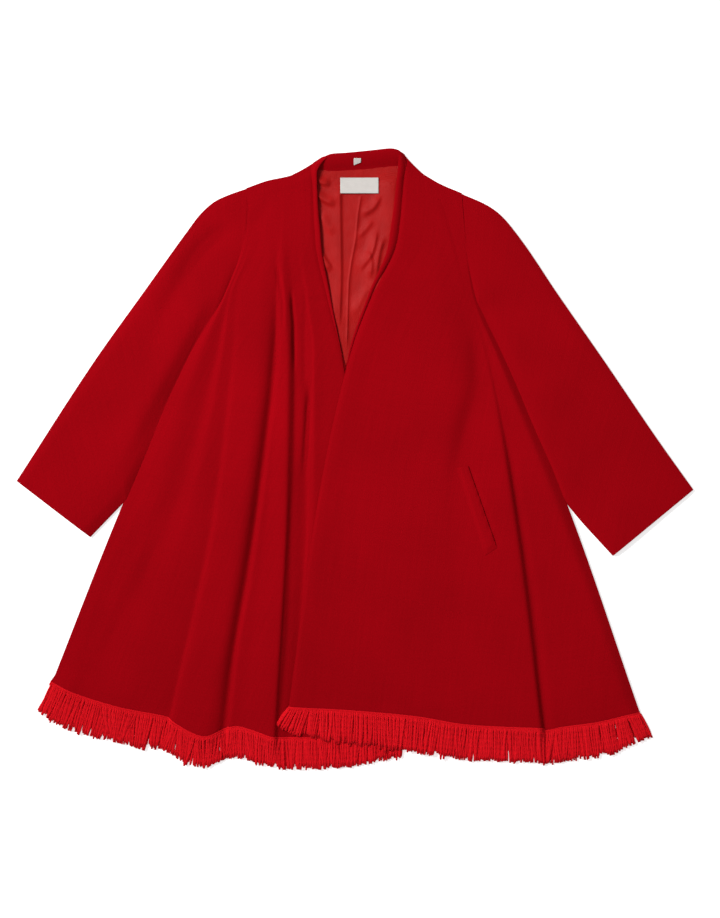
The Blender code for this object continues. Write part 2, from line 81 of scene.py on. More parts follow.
# A turned edge: its radius for a wall of 1, and the sharpest bend in degrees that stays as it is.
EDGE_ROUND = 0.35
EDGE_ANGLE = 55


class Side(Enum):
    """The wearer's side that a piece is on, as the sign of its X."""

    RIGHT = -1
    LEFT = 1


class Slot(Enum):
    """Material slots, by name."""

    WOOL = "wool"
    SATIN = "satin"
    YARN = "yarn"
    LABEL = "label_cloth"


class Level(NamedTuple):
    """A level on a front: its share of the way from shoulder to hem, and its y."""

    share: float
    y: float


CHEST = Level(0.11, 350)
ARMPIT = Level(0.21, 263)
RIBS = Level(0.32, 166)
WAIST = Level(0.59, -66)
LEVEL_SHARES = (0.0, CHEST.share, ARMPIT.share, RIBS.share, WAIST.share, 1.0)


class FoldLine(NamedTuple):
    """A line from shoulder to hem: its x at each level, its end's y, and the cloth's height."""

    chest: float
    armpit: float
    ribs: float
    waist: float
    hem: float
    hem_y: float
    chest_lift: float
    armpit_lift: float
    ribs_lift: float
    waist_lift: float
    hem_lift: float


class SleeveLine(NamedTuple):
    """A line along a sleeve, at a share of its width: the cloth's height at three places."""

    share: float
    armhole: float
    elbow: float
    cuff: float


class BandFront(NamedTuple):
    """The neck band at a share of a front's edge."""

    share: float
    width: float
    rise: float
    crown: float


class BandBack(NamedTuple):
    """The neck band round the back: its foot, its free edge and its crown."""

    foot_x: float
    foot_y: float
    foot_lift: float
    edge_x: float
    edge_y: float
    edge_lift: float
    crown: float


class BandPlace(NamedTuple):
    """A place in the band's section: shares of its width, rise and crown, and a height to add."""

    width: float
    rise: float
    crown: float
    lift: float


class LiningRow(NamedTuple):
    """One level of the lining: its y and its x at both ends."""

    y_left: float
    y_right: float
    left: float
    right: float


def smooth_step(share: Points) -> Points:
    """Ease from 0 to 1 as the share goes from 0 to 1."""
    share = np.clip(share, 0, 1)
    return share * share * (3 - 2 * share)


def smooth_through(knots: Points, values: Points, at: Points) -> Points:
    """Read a curve that passes through every knot and never swings past one.

    Args:
        knots: Rising places of the knots.
        values: A row of values for each knot.
        at: Places to read.

    Returns:
        A row of values for each place.
    """
    knots = np.asarray(knots, float)
    values = np.asarray(values, float).reshape(len(knots), -1)
    at = np.clip(np.atleast_1d(at), knots[0], knots[-1])
    step = np.diff(knots)[:, None]
    slope = np.diff(values, axis=0) / step
    product = slope[:-1] * slope[1:]
    total = np.where(product > 0, slope[:-1] + slope[1:], 1.0)
    inner = np.where(product > 0, 2 * product / total, 0.0)
    tangent = np.vstack([slope[:1], inner, slope[-1:]])
    low = np.clip(np.searchsorted(knots, at, side="right") - 1, 0, len(knots) - 2)
    part = ((at - knots[low]) / step[low, 0])[:, None]
    leaving = tangent[low] * step[low]
    arriving = tangent[low + 1] * step[low]
    return (
        values[low] * (1 + 2 * part) * (1 - part) ** 2
        + leaving * part * (1 - part) ** 2
        + values[low + 1] * (3 - 2 * part) * part**2
        - arriving * (1 - part) * part**2
    )


def path_reach(points: Points) -> Points:
    """Distance along a path from its start to each of its points."""
    return np.concatenate([[0], np.cumsum(np.linalg.norm(np.diff(points, axis=0), axis=1))])


def read_path(points: Points, shares: Points) -> Points:
    """Points at shares of the length of a path that is straight between its corners."""
    reach = path_reach(points)
    return np.column_stack([np.interp(shares * reach[-1], reach, column) for column in points.T])


def along_path(points: Path2D | Points, count: int) -> Points:
    """Spread points evenly along a smooth path.

    Args:
        points: Points that the path passes through.
        count: How many points to give.

    Returns:
        The points, a row each.
    """
    points = np.asarray(points, float)
    whole = path_reach(points)
    fine = smooth_through(whole, points, np.linspace(0, whole[-1], PATH_READINGS * len(points)))
    return read_path(fine, np.linspace(0, 1, count))


def cloth_reach(points: Points, axis: int) -> Points:
    """Distance along the cloth from its first row, or its first column, to each point."""
    step = np.linalg.norm(np.diff(points, axis=axis), axis=2)
    return np.concatenate([np.zeros_like(np.take(step, [0], axis)), np.cumsum(step, axis)], axis)


def patch_between(top: Points, low: Points, start: Points, stop: Points) -> Points:
    """Fill four edges in plan with a grid of points.

    Args:
        top: Edge from the start edge's first point to the stop edge's first point.
        low: Edge from the start edge's last point to the stop edge's last point.
        start: Edge that joins the first points of top and low.
        stop: Edge that joins the last points of top and low.

    Returns:
        Points by place along the top and by place along the start edge.
    """
    along = np.linspace(0, 1, len(top))[:, None, None]
    over = np.linspace(0, 1, len(start))[None, :, None]
    between_edges = top[:, None] * (1 - over) + low[:, None] * over
    between_ends = start[None] * (1 - along) + stop[None] * along
    near = top[0] * (1 - over) + low[0] * over
    far = top[-1] * (1 - over) + low[-1] * over
    return between_edges + between_ends - near * (1 - along) - far * along


def soft_waves(plan: Points, seed: int, height: float, length: float, count: int = 7) -> Points:
    """Broad, uneven swells of cloth that doesn't lie quite flat.

    Args:
        plan: Points in plan.
        seed: Start of the random draws.
        height: Typical height of a swell.
        length: Typical distance between two swells.
        count: How many plain waves are added up.

    Returns:
        The height at each point.
    """
    draw = np.random.default_rng(seed)
    total = np.zeros(plan.shape[:-1])
    least, most = WAVE_STRETCH
    for heading, phase, stretch in draw.uniform((0, 0, least), (math.pi, 2 * math.pi, most), (count, 3)):
        ahead = plan[..., 0] * math.cos(heading) + plan[..., 1] * math.sin(heading)
        total += np.sin(2 * math.pi * ahead / (length * stretch) + phase)
    return total * height / math.sqrt(count)


@dataclass(frozen=True)
class Crease:
    """A soft trough along a path on the cloth, or a ridge where its depth is below zero.

    The two widths are on its left and on its right, looking along the path.
    The fades are the shares of the path in which it comes and goes.
    """

    path: Path2D
    depth: float
    left: float
    right: float
    fade_in: float = 0.3
    fade_out: float = 0.3

    def drop(self, plan: Points) -> Points:
        """How far the cloth sinks at each point of its plan.

        Args:
            plan: Points in plan.

        Returns:
            The drop at each point.
        """
        line = along_path(self.path, CREASE_READINGS)
        ahead = np.gradient(line, axis=0)
        ahead /= np.linalg.norm(ahead, axis=1)[:, None]
        flat = plan.reshape(-1, 2)
        near = np.argmin(((flat[:, None] - line[None]) ** 2).sum(axis=2), axis=1)
        offset = flat - line[near]
        away = ahead[near, 0] * offset[:, 1] - ahead[near, 1] * offset[:, 0]
        share = near / (CREASE_READINGS - 1)
        width = np.where(away > 0, self.left, self.right)
        fade = np.ones_like(share)
        if self.fade_in:
            fade *= smooth_step(share / self.fade_in)
        if self.fade_out:
            fade *= smooth_step((1 - share) / self.fade_out)
        return (self.depth * fade * np.exp(-((away / width) ** 2))).reshape(plan.shape[:-1])


def sink(points: Points, creases: tuple[Crease, ...]) -> None:
    """Press a table of creases into the upper face of a cloth.

    Args:
        points: The cloth's upper face, which is changed.
        creases: The creases, in any order.
    """
    plan = points[..., :2].copy()
    for crease in creases:
        points[..., 2] -= crease.drop(plan)


class ShaderBoard:
    """A material's node tree, with short ways to add nodes to it."""

    def __init__(self, name: str) -> None:
        """Start a material that has only its Principled shader.

        Args:
            name: The material's name.
        """
        self.material = bpy.data.materials.new(name)
        self.material.use_nodes = True
        self.tree = self.material.node_tree
        self.shader = self.tree.nodes["Principled BSDF"]

    def put(self, node: bpy.types.Node, sockets: dict) -> None:
        """Set a node's inputs, or link them where the value is another node's output.

        Args:
            node: The node.
            sockets: Values or links for its inputs, by name or by place.
        """
        for name, value in sockets.items():
            if isinstance(value, bpy.types.NodeSocket):
                self.tree.links.new(value, node.inputs[name])
            else:
                node.inputs[name].default_value = value

    def add(self, kind: str, sockets: dict, **settings: object) -> bpy.types.Node:
        """Add a node.

        Args:
            kind: The node's type, without its ShaderNode prefix.
            sockets: Values or links for its inputs, by name or by place.
            settings: Values for its properties.

        Returns:
            The node.
        """
        node = self.tree.nodes.new(f"ShaderNode{kind}")
        for name, value in settings.items():
            setattr(node, name, value)
        self.put(node, sockets)
        return node

    def noise(self, place: bpy.types.NodeSocket, scale: float, detail: float) -> bpy.types.NodeSocket:
        """A grey noise of about one swell in each 1 / scale metres."""
        sockets = {"Vector": place, "Scale": scale, "Detail": detail}
        return self.add("TexNoise", sockets).outputs["Fac"]

    def weave_noise(self, stretch: Triple, scale: float, detail: float) -> bpy.types.NodeSocket:
        """A grey noise that lies along the cloth.

        Args:
            stretch: A factor on each axis of the cloth.
            scale: Swells in a metre.
            detail: How many finer noises are in it.

        Returns:
            The noise.
        """
        cloth = self.add("UVMap", {}, uv_map=WEAVE_MAP)
        place = self.add("Mapping", {"Vector": cloth.outputs[0], "Scale": stretch})
        return self.noise(place.outputs[0], scale, detail)

    def broad_noise(self, scale: float, detail: float) -> bpy.types.NodeSocket:
        """A grey noise that runs through all pieces, across their seams."""
        return self.noise(self.add("TexCoord", {}).outputs["Object"], scale, detail)

    def mixed(self, first: object, second: object, share: object) -> bpy.types.NodeSocket:
        """A blend of two colours."""
        return self.add("Mix", {0: share, 6: first, 7: second}, data_type="RGBA").outputs[2]

    def maths(self, operation: str, first: object, second: object) -> bpy.types.NodeSocket:
        """The result of one sum on two values."""
        return self.add("Math", {0: first, 1: second}, operation=operation).outputs[0]

    def weighted(self, first: object, second: object, weights: Pair) -> bpy.types.NodeSocket:
        """The sum of two values, each times its own weight."""
        terms = [self.maths("MULTIPLY", *term) for term in zip((first, second), weights)]
        return self.maths("ADD", *terms)

    def bump(self, height: bpy.types.NodeSocket, strength: float, distance: float) -> None:
        """Give the shader a relief of a height, in metres."""
        sockets = {"Height": height, "Strength": strength, "Distance": distance}
        self.put(self.shader, {"Normal": self.add("Bump", sockets).outputs[0]})


@dataclass(frozen=True)
class Finish:
    """A procedural finish: two tones of one colour and the way it takes light."""

    name: str
    slot: Slot | None
    colour: Colour
    shade: Colour
    roughness: float
    sheen: float = 0.0
    sheen_tint: Colour = (1.0, 1.0, 1.0)
    sheen_roughness: float = 0.5
    specular: float = 0.5

    def material(self) -> bpy.types.Material:
        """The finish's material, made the first time that it is asked for.

        Returns:
            The material.
        """
        made = bpy.data.materials.get(self.name)
        if made is None:
            board = ShaderBoard(self.name)
            board.put(
                board.shader,
                {
                    "Roughness": self.roughness,
                    "Sheen Weight": self.sheen,
                    "Sheen Tint": (*self.sheen_tint, 1.0),
                    "Sheen Roughness": self.sheen_roughness,
                    "Specular IOR Level": self.specular,
                },
            )
            self.paint(board)
            made = board.material
        return made

    def tones(self, board: ShaderBoard, share: bpy.types.NodeSocket) -> None:
        """Colour the shader between the finish's shade and its colour."""
        colour = board.mixed((*self.shade, 1.0), (*self.colour, 1.0), share)
        board.put(board.shader, {"Base Color": colour})

    def paint(self, board: ShaderBoard) -> None:
        """Add the finish's own nodes."""
        raise NotImplementedError


@dataclass(frozen=True)
class FulledWool(Finish):
    """Wool coating whose weave is nearly hidden under a short nap that lies along the cloth."""

    nap: float = 700.0
    grain: float = 200.0
    drift: float = 7.0
    nap_stretch: Triple = (1, 0.45, 1)
    grain_stretch: Triple = (1, 0.05, 1)
    row_stretch: Triple = (0.05, 1, 1)
    weave_weights: Pair = (0.55, 0.3)
    fine_weights: Pair = (0.6, 0.5)
    tone_weights: Pair = (0.7, 0.35)
    relief: Pair = (0.6, 0.0009)

    def paint(self, board: ShaderBoard) -> None:
        """Mix fine nap, streaks of grain and broad drift into the tone and the relief.

        Args:
            board: The material's node tree.
        """
        nap = board.weave_noise(self.nap_stretch, self.nap, detail=4)
        grain = board.weave_noise(self.grain_stretch, self.grain, detail=3)
        rows = board.weave_noise(self.row_stretch, self.grain, detail=3)
        drift = board.broad_noise(self.drift, detail=2)
        weave = board.weighted(grain, rows, self.weave_weights)
        fine = board.weighted(nap, weave, self.fine_weights)
        self.tones(board, board.weighted(fine, drift, self.tone_weights))
        board.bump(fine, *self.relief)


@dataclass(frozen=True)
class LiningSatin(Finish):
    """Smooth satin with a fine thread and a soft gloss."""

    thread: float = 2600.0
    crumple: float = 45.0
    thread_stretch: Triple = (1, 0.06, 1)
    crumple_stretch: Triple = (1, 0.6, 1)
    weights: Pair = (0.25, 0.75)
    relief: Pair = (0.5, 0.0024)

    def paint(self, board: ShaderBoard) -> None:
        """Mix the thread and a slight crumple into the tone and the relief.

        Args:
            board: The material's node tree.
        """
        thread = board.weave_noise(self.thread_stretch, self.thread, detail=2)
        crumple = board.weave_noise(self.crumple_stretch, self.crumple, detail=3)
        both = board.weighted(thread, crumple, self.weights)
        self.tones(board, both)
        board.bump(both, *self.relief)


@dataclass(frozen=True)
class TwistedYarn(Finish):
    """Fuzzy yarn of several plies, with a tone of its own for each strand and painted shade in the grooves
    between plies.
    """

    plies: float = 2.0
    twist: float = 120.0
    fuzz: float = 1100.0
    # the ply wave's weight is painted shade in the grooves between plies; the fuzz's weight is a random
    # tone
    tone_weights: Pair = (0.12, 0.6)
    strand_weight: float = 0.3
    relief_weights: Pair = (0.35, 0.6)
    relief: Pair = (0.6, 0.0009)

    def paint(self, board: ShaderBoard) -> None:
        """Turn the plies round each strand, darken the tone in the grooves between plies as painted shade,
        and vary it by strand and by fuzz.

        Args:
            board: The material's node tree.
        """
        place = board.add("UVMap", {}, uv_map=WEAVE_MAP).outputs[0]
        parts = board.add("SeparateXYZ", {0: place}).outputs
        turn = board.weighted(parts["X"], parts["Y"], (self.plies, self.twist))
        wave = board.maths("SINE", board.maths("MULTIPLY", turn, 2 * math.pi), 0.0)
        ply = board.maths("ADD", board.maths("MULTIPLY", wave, 0.5), 0.5)
        fuzz = board.broad_noise(self.fuzz, detail=3)
        tone = board.add("Attribute", {}, attribute_name=TONE).outputs["Fac"]
        # the ply wave darkens the tone in the grooves between plies: painted shade
        ply_shade_and_fuzz = board.weighted(ply, fuzz, self.tone_weights)
        strand = board.maths("MULTIPLY", tone, self.strand_weight)
        self.tones(board, board.maths("ADD", ply_shade_and_fuzz, strand))
        board.bump(board.weighted(ply, fuzz, self.relief_weights), *self.relief)


@dataclass(frozen=True)
class WovenRibbon(Finish):
    """A blank woven ribbon with fine ribs."""

    ribs: float = 1500.0
    cloud: float = 110.0
    rib_stretch: Triple = (0.08, 1, 1)
    weights: Pair = (0.6, 0.5)
    relief: Pair = (0.4, 0.0002)

    def paint(self, board: ShaderBoard) -> None:
        """Weave fine ribs across a slightly uneven white.

        Args:
            board: The material's node tree.
        """
        rib = board.weave_noise(self.rib_stretch, self.ribs, detail=1)
        cloud = board.weave_noise((1, 1, 1), self.cloud, detail=3)
        self.tones(board, board.weighted(rib, cloud, self.weights))
        board.bump(rib, *self.relief)


@dataclass(frozen=True)
class PaleFloor(Finish):
    """The studio's plain matt floor, lit a little from below like a light table."""

    glow: float = 0.62
    cloud: float = 3.0

    def paint(self, board: ShaderBoard) -> None:
        """Colour the floor with a barely uneven white, and let it glow.

        Args:
            board: The material's node tree.
        """
        self.tones(board, board.broad_noise(self.cloud, detail=2))
        board.put(board.shader, {"Emission Color": (1.0, 1.0, 1.0, 1.0), "Emission Strength": self.glow})


WOOL = FulledWool(
    name="red_fulled_wool",
    slot=Slot.WOOL,
    colour=(0.29, 0.0003, 0.0036),
    shade=(0.13, 0.0001, 0.0014),
    roughness=0.94,
    sheen=0.04,
    sheen_tint=(1.0, 0.03, 0.1),
    sheen_roughness=0.4,
    specular=0.03,
)
SATIN = LiningSatin(
    name="red_lining_satin",
    slot=Slot.SATIN,
    colour=(0.345, 0.0053, 0.0053),
    shade=(0.19, 0.0022, 0.0022),
    roughness=0.5,
    specular=0.07,
)
YARN = TwistedYarn(
    name="bright_red_yarn",
    slot=Slot.YARN,
    colour=(0.58, 0.0044, 0.0098),
    shade=(0.36, 0.0018, 0.0048),
    roughness=0.92,
    sheen=0.05,
    sheen_tint=(1.0, 0.1, 0.15),
    specular=0.05,
)
RIBBON = WovenRibbon(
    name="white_woven_ribbon",
    slot=Slot.LABEL,
    colour=(0.49, 0.465, 0.44),
    shade=(0.385, 0.355, 0.335),
    roughness=0.6,
    specular=0.1,
)
FLOOR = PaleFloor("pale_floor", None, (0.60, 0.60, 0.60), (0.58, 0.58, 0.58), 0.9, specular=0.1)


def link(name: str, data: bpy.types.Mesh, finish: Finish) -> bpy.types.Object:
    """Show a mesh as an object with a finish, at the origin.

    Args:
        name: The object's name.
        data: The mesh.
        finish: What it is made of.

    Returns:
        The object.
    """
    data.shade_smooth()
    data.materials.append(finish.material())
    piece = bpy.data.objects.new(name, data)
    bpy.context.scene.collection.objects.link(piece)
    return piece


def map_weave(data: bpy.types.Mesh, places: Points) -> None:
    """Give every corner of a mesh its place on the cloth, in metres."""
    layer = data.uv_layers.new(name=WEAVE_MAP)
    layer.data.foreach_set("uv", np.asarray(places, np.float32).ravel())


def lay_cloth(name: str, points: Points, wall: float, finish: Finish) -> bpy.types.Object:
    """Lay a cloth through a grid of points.

    Args:
        name: The piece's name.
        points: The cloth's upper face, by place across and along it.
        wall: The cloth's thickness.
        finish: What it is made of.

    Returns:
        The piece, with a rounded wall under its upper face.
    """
    across, along = points.shape[:2]
    grid = bmesh.new()
    bmesh.ops.create_grid(grid, x_segments=across - 1, y_segments=along - 1, size=0.5)
    data = bpy.data.meshes.new(name)
    grid.to_mesh(data)
    grid.free()
    corner = np.empty(len(data.vertices) * 3)
    data.vertices.foreach_get("co", corner)
    place = np.rint((corner.reshape(-1, 3)[:, :2] + 0.5) * (across - 1, along - 1)).astype(int)
    data.vertices.foreach_set("co", (points[place[:, 0], place[:, 1]] * MM).ravel())
    data.update()
    if sum(face.normal.z for face in data.polygons) < 0:
        data.flip_normals()
    vertex = np.empty(len(data.loops), int)
    data.loops.foreach_get("vertex_index", vertex)
    weave = np.dstack([cloth_reach(points, 0), cloth_reach(points, 1)]) * MM
    map_weave(data, weave[place[vertex, 0], place[vertex, 1]])
    piece = link(name, data, finish)
    shell = piece.modifiers.new("wall", "SOLIDIFY")
    shell.thickness = wall * MM
    shell.offset = -1.0
    edge = piece.modifiers.new("turned_edge", "BEVEL")
    edge.width = wall * EDGE_ROUND * MM
    edge.segments = 2
    edge.limit_method = "ANGLE"
    edge.angle_limit = math.radians(EDGE_ANGLE)
    return piece


def ring_grid(paths: Points, half_width: Points, half_height: Points, sides: int) -> Points:
    """Rings of points round many paths.

    Args:
        paths: Middle lines, by tube and by ring.
        half_width: Reach to each side, by tube, ring and place round the ring.
        half_height: Reach up and down, in the same way.
        sides: Points round a ring.

    Returns:
        Points by tube, ring and place round the ring.
    """
    ahead = np.gradient(paths, axis=1)
    ahead /= np.linalg.norm(ahead, axis=2)[..., None]
    beside = np.cross(ahead, (0.0, 0.0, 1.0))
    beside /= np.linalg.norm(beside, axis=2)[..., None]
    above = np.cross(beside, ahead)
    turn = np.linspace(0, 2 * math.pi, sides, endpoint=False)
    wide = (half_width * np.cos(turn))[..., None] * beside[:, :, None]
    high = (half_height * np.sin(turn))[..., None] * above[:, :, None]
    return paths[:, :, None] + wide + high


def join_tubes(name: str, rings: Points, tones: Points, finish: Finish) -> bpy.types.Object:
    """Join many closed tubes into one piece.

    Args:
        name: The piece's name.
        rings: Points by tube, ring and place round the ring.
        tones: A tone for each tube, from 0 to 1.
        finish: What the tubes are made of.

    Returns:
        The piece, with a map of its turns and its length.
    """
    count, length, sides = rings.shape[:3]
    index = np.arange(count * length * sides).reshape(count, length, sides)
    beside = np.roll(index, -1, axis=2)
    walls = np.stack([index[:, :-1], beside[:, :-1], beside[:, 1:], index[:, 1:]], axis=-1).reshape(-1, 4)
    ends = np.concatenate([index[:, 0, ::-1], index[:, -1]])
    data = bpy.data.meshes.new(name)
    data.from_pydata((rings * MM).reshape(-1, 3).tolist(), [], walls.tolist() + ends.tolist())

    middle = rings.mean(axis=2)
    step = np.linalg.norm(np.diff(middle, axis=1), axis=2)
    reach = np.concatenate([np.zeros((count, 1)), np.cumsum(step, axis=1)], axis=1) * MM
    turn = np.arange(sides + 1) / sides
    shape = (count, length - 1, sides)
    left, right = np.broadcast_to(turn[:-1], shape), np.broadcast_to(turn[1:], shape)
    near, far = np.broadcast_to(reach[:, :-1, None], shape), np.broadcast_to(reach[:, 1:, None], shape)
    corners = np.stack([left, near, right, near, right, far, left, far], axis=-1).reshape(-1, 2)
    map_weave(data, np.vstack([corners, np.zeros((ends.size, 2))]))

    attribute = data.attributes.new(TONE, "FLOAT", "POINT")
    attribute.data.foreach_set("value", np.repeat(tones, length * sides).astype(np.float32))
    outward = bmesh.new()
    outward.from_mesh(data)
    bmesh.ops.recalc_face_normals(outward, faces=outward.faces[:])
    outward.to_mesh(data)
    outward.free()
    return link(name, data, finish)


def height_on(piece: bpy.types.Object) -> Height:
    """Measure the height of a piece's upper face.

    Args:
        piece: The piece.

    Returns:
        A function that gives the height over points, all in millimetres.
    """
    tree = BVHTree.FromObject(piece, bpy.context.evaluated_depsgraph_get())
    high = Vector((0, 0, 1))

    def height(x: float, y: float) -> float:
        """Height over one point."""
        return tree.ray_cast(Vector((x * MM, y * MM, 0)) + high, -high)[0].z / MM

    return np.vectorize(height)


def stand_for(piece: bpy.types.Object, slot: Slot, *nodes: str) -> None:
    """Put a piece on the coat's body in place of its plain solids, and report it.

    Args:
        piece: The piece.
        slot: Its material slot; not used.
        nodes: The solids that it replaces.
    """
    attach(piece, BODY)
    if nodes:
        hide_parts(*nodes)
    log.info("%s: %d points", piece.name, len(piece.data.vertices))


def state_cut(points: Points) -> None:
    """Measure the flat width and length of a cloth from the grid that it was laid through, and keep
    neither.

    Args:
        points: Its grid.
    """
    width = float(cloth_reach(points, 0).max() * MM)
    length = float(cloth_reach(points, 1).max() * MM)


def sew(
    name: str, points: Points, wall: float, finish: Finish, on: list[str], *nodes: str
) -> bpy.types.Object:
    """Lay a cloth in place of its plain solids and measure its cut.

    Args:
        name: The piece's name.
        points: The grid of its upper face.
        wall: Its thickness.
        finish: What it is made of.
        on: Names of what it lies on; not used.
        nodes: The solids that it replaces.

    Returns:
        The piece.
    """
    piece = lay_cloth(name, points, wall, finish)
    stand_for(piece, finish.slot, *nodes)
    state_cut(points)
    return piece


@dataclass
class FrontPanel:
    """One front of the coat, from shoulder to hem, folded along its lines."""

    node: str
    front_line: int
    shoulder: Path2D
    shoulder_lift: Pair
    lines: tuple[FoldLine, ...]
    creases: tuple[Crease, ...]
    seed: int
    steps_between_lines: int = 9
    rows: int = 230
    swell: float = 0.35
    swell_length: float = 150.0
    shoulder_roll: float = 0.018
    edge_roll: float = 0.7
    edge_roll_width: float = 3.0

    def points(self, across: Points, along: Points) -> Points:
        """Points of the upper face as its lines give it.

        Args:
            across: Shares of the way from the first line to the last.
            along: Shares of the way from shoulder to hem.

        Returns:
            Points by place across and place along.
        """
        place = np.linspace(0, 1, len(self.lines))
        shoulder = along_path(self.shoulder, len(self.lines))
        shoulder_lift = np.interp(place, (0, 1), self.shoulder_lift)
        table = np.array(
            [
                [
                    (x, y, lift),
                    (line.chest, CHEST.y, line.chest_lift),
                    (line.armpit, ARMPIT.y, line.armpit_lift),
                    (line.ribs, RIBS.y, line.ribs_lift),
                    (line.waist, WAIST.y, line.waist_lift),
                    (line.hem, line.hem_y, line.hem_lift),
                ]
                for line, (x, y), lift in zip(self.lines, shoulder, shoulder_lift)
            ]
        )
        by_level = table.transpose(1, 0, 2).reshape(len(LEVEL_SHARES), -1)
        rows = smooth_through(LEVEL_SHARES, by_level, along).reshape(len(along), len(self.lines), 3)
        by_line = rows.transpose(1, 0, 2).reshape(len(self.lines), -1)
        return smooth_through(place, by_line, across).reshape(len(across), len(along), 3)

    def line(self, line: int, along: Points) -> Points:
        """Points along one fold line, at shares of its length."""
        place = np.linspace(0, 1, len(self.lines))[line]
        return self.points(np.array([place]), np.asarray(along, float))[0]

    def cloth(self) -> Points:
        """The fine upper face, with its creases, swells and rolled edges.

        Returns:
            Points by place across and place along.
        """
        across = np.linspace(0, 1, (len(self.lines) - 1) * self.steps_between_lines + 1)
        along = np.linspace(0, 1, self.rows + 1)
        points = self.points(across, along)
        sink(points, self.creases)
        points[..., 2] += soft_waves(points[..., :2], self.seed, self.swell, self.swell_length)
        points[..., 2] = np.maximum(points[..., 2], EDGE - SEAM)
        settle = smooth_step(along / self.shoulder_roll)
        points[..., 2] = EDGE + (points[..., 2] - EDGE) * settle
        reach = cloth_reach(points, 0)
        from_edge = reach if self.front_line == 0 else reach[-1:] - reach
        points[..., 2] -= self.edge_roll * np.exp(-((from_edge / self.edge_roll_width) ** 2)) * settle
        return points

    def build(self) -> tuple[bpy.types.Object, Points]:
        """Lay the cloth.

        Returns:
            The piece and its grid of points.
        """
        points = self.cloth()
        return lay_cloth(f"{self.node}_cloth", points, CLOTH, WOOL), points

    def dress(self, piece: bpy.types.Object, points: Points) -> None:
        """Put the cloth in its solid's place and measure its cut."""
        stand_for(piece, WOOL.slot, self.node)
        state_cut(points)


@dataclass
class BackPanel:
    """The back, which lies flat under both fronts."""

    right: FrontPanel
    left: FrontPanel
    neck: Path2D = ((-46, 455), (0, 459), (56, 465))
    hem: Path2D = (
        (-488, -357),
        (-376, -389),
        (-301, -405),
        (-152, -415),
        (-16, -412),
        (88, -405),
        (296, -421),
        (389, -412),
        (452, -400),
    )
    node: str = "back"
    rows: int = 60
    columns: int = 72

    def hem_line(self) -> Points:
        """The hem in plan."""
        return along_path(self.hem, self.columns + 1)

    def build(self) -> None:
        """Lay the back between its side seams, its neck and its hem, and measure its cut."""
        along = np.linspace(0, 1, self.rows + 1)
        right = self.right.line(0, along)[:, :2]
        left = self.left.line(-1, along)[:, :2]
        hem = self.hem_line()
        right[-1], left[-1] = hem[0], hem[-1]
        corners = np.array([*self.right.shoulder, *self.neck, *self.left.shoulder], float)
        top = read_path(corners, np.linspace(0, 1, self.columns + 1))
        plan = patch_between(top, hem, right, left)
        points = np.dstack([plan, np.full(plan.shape[:2], CLOTH)])
        sew("back_cloth", points, CLOTH, WOOL, ["floor"], self.node)


@dataclass
class Sleeve:
    """A laid sleeve: a flat under half, and an upper half that lies over it in soft folds."""

    name: str
    panel: FrontPanel
    line: int
    side: Side
    top_edge: Path2D
    low_end: Path2D
    lines: tuple[SleeveLine, ...]
    creases: tuple[Crease, ...]
    seed: int
    tuck: float = 3.0
    elbow: float = 0.5
    columns: int = 60
    side_rows: int = 98
    end_rows: int = 56
    swell: float = 0.35
    swell_length: float = 120.0
    seam_dip: float = 0.2
    seam_width: float = 22.0

    def edges(self) -> tuple[Points, Points, Points, Points]:
        """The sleeve's edges in plan.

        Returns:
            The top edge, the lower edge, the armhole and the cuff.
        """
        tuck = np.array([-self.side.value * self.tuck, 0])
        shares = np.linspace(0, ARMPIT.share, self.columns + 1)
        armhole = self.panel.line(self.line, shares)[:, :2] + tuck
        shares = np.linspace(ARMPIT.share, WAIST.share, self.side_rows + 1)
        side = self.panel.line(self.line, shares)[1:, :2] + tuck
        end = along_path(np.vstack([side[-1:], self.low_end]), self.end_rows + 1)
        low = np.vstack([armhole[-1:], side, end[1:]])
        top = along_path(np.vstack([armhole[:1], self.top_edge]), len(low))
        cuff = along_path(np.vstack([top[-1:], low[-1:]]), len(armhole))
        return top, low, armhole, cuff

    def upper(self, plan: Points) -> Points:
        """The upper half's face over its plan, with its folds.

        Args:
            plan: The sleeve's points in plan.

        Returns:
            Points by place along and place across.
        """
        rows, columns = plan.shape[:2]
        heights = [(line.armhole, line.elbow, line.cuff) for line in self.lines]
        across = smooth_through([line.share for line in self.lines], heights, np.linspace(0, 1, columns))
        along = np.linspace(0, 1, rows)
        points = np.dstack([plan, smooth_through((0, self.elbow, 1), across.T, along)])
        rise = np.clip((points[..., 2] - EDGE) / (self.lines[1].armhole - EDGE), 0, 1)
        points[..., 2] += soft_waves(plan, self.seed, self.swell, self.swell_length) * rise
        sink(points, self.creases)
        seam = self.panel.line(self.line, np.linspace(0, ARMPIT.share, columns))[:, 2] - self.seam_dip
        near = np.exp(-((cloth_reach(points, 0) / self.seam_width) ** 2))
        points[..., 2] += (seam - points[..., 2]) * near
        points[..., 2] = np.maximum(points[..., 2], EDGE - self.seam_dip)
        return points

    def build(self) -> None:
        """Lay both halves and measure their cuts."""
        plan = patch_between(*self.edges())
        under = np.dstack([plan, np.full(plan.shape[:2], CLOTH)])[::2, ::2]
        upper = self.upper(plan)
        for half, points, on in (("under", under, "floor"), ("upper", upper, f"{self.name}_under_cloth")):
            sew(f"{self.name}_{half}_cloth", points, CLOTH, WOOL, [on], f"{self.name}_{half}")


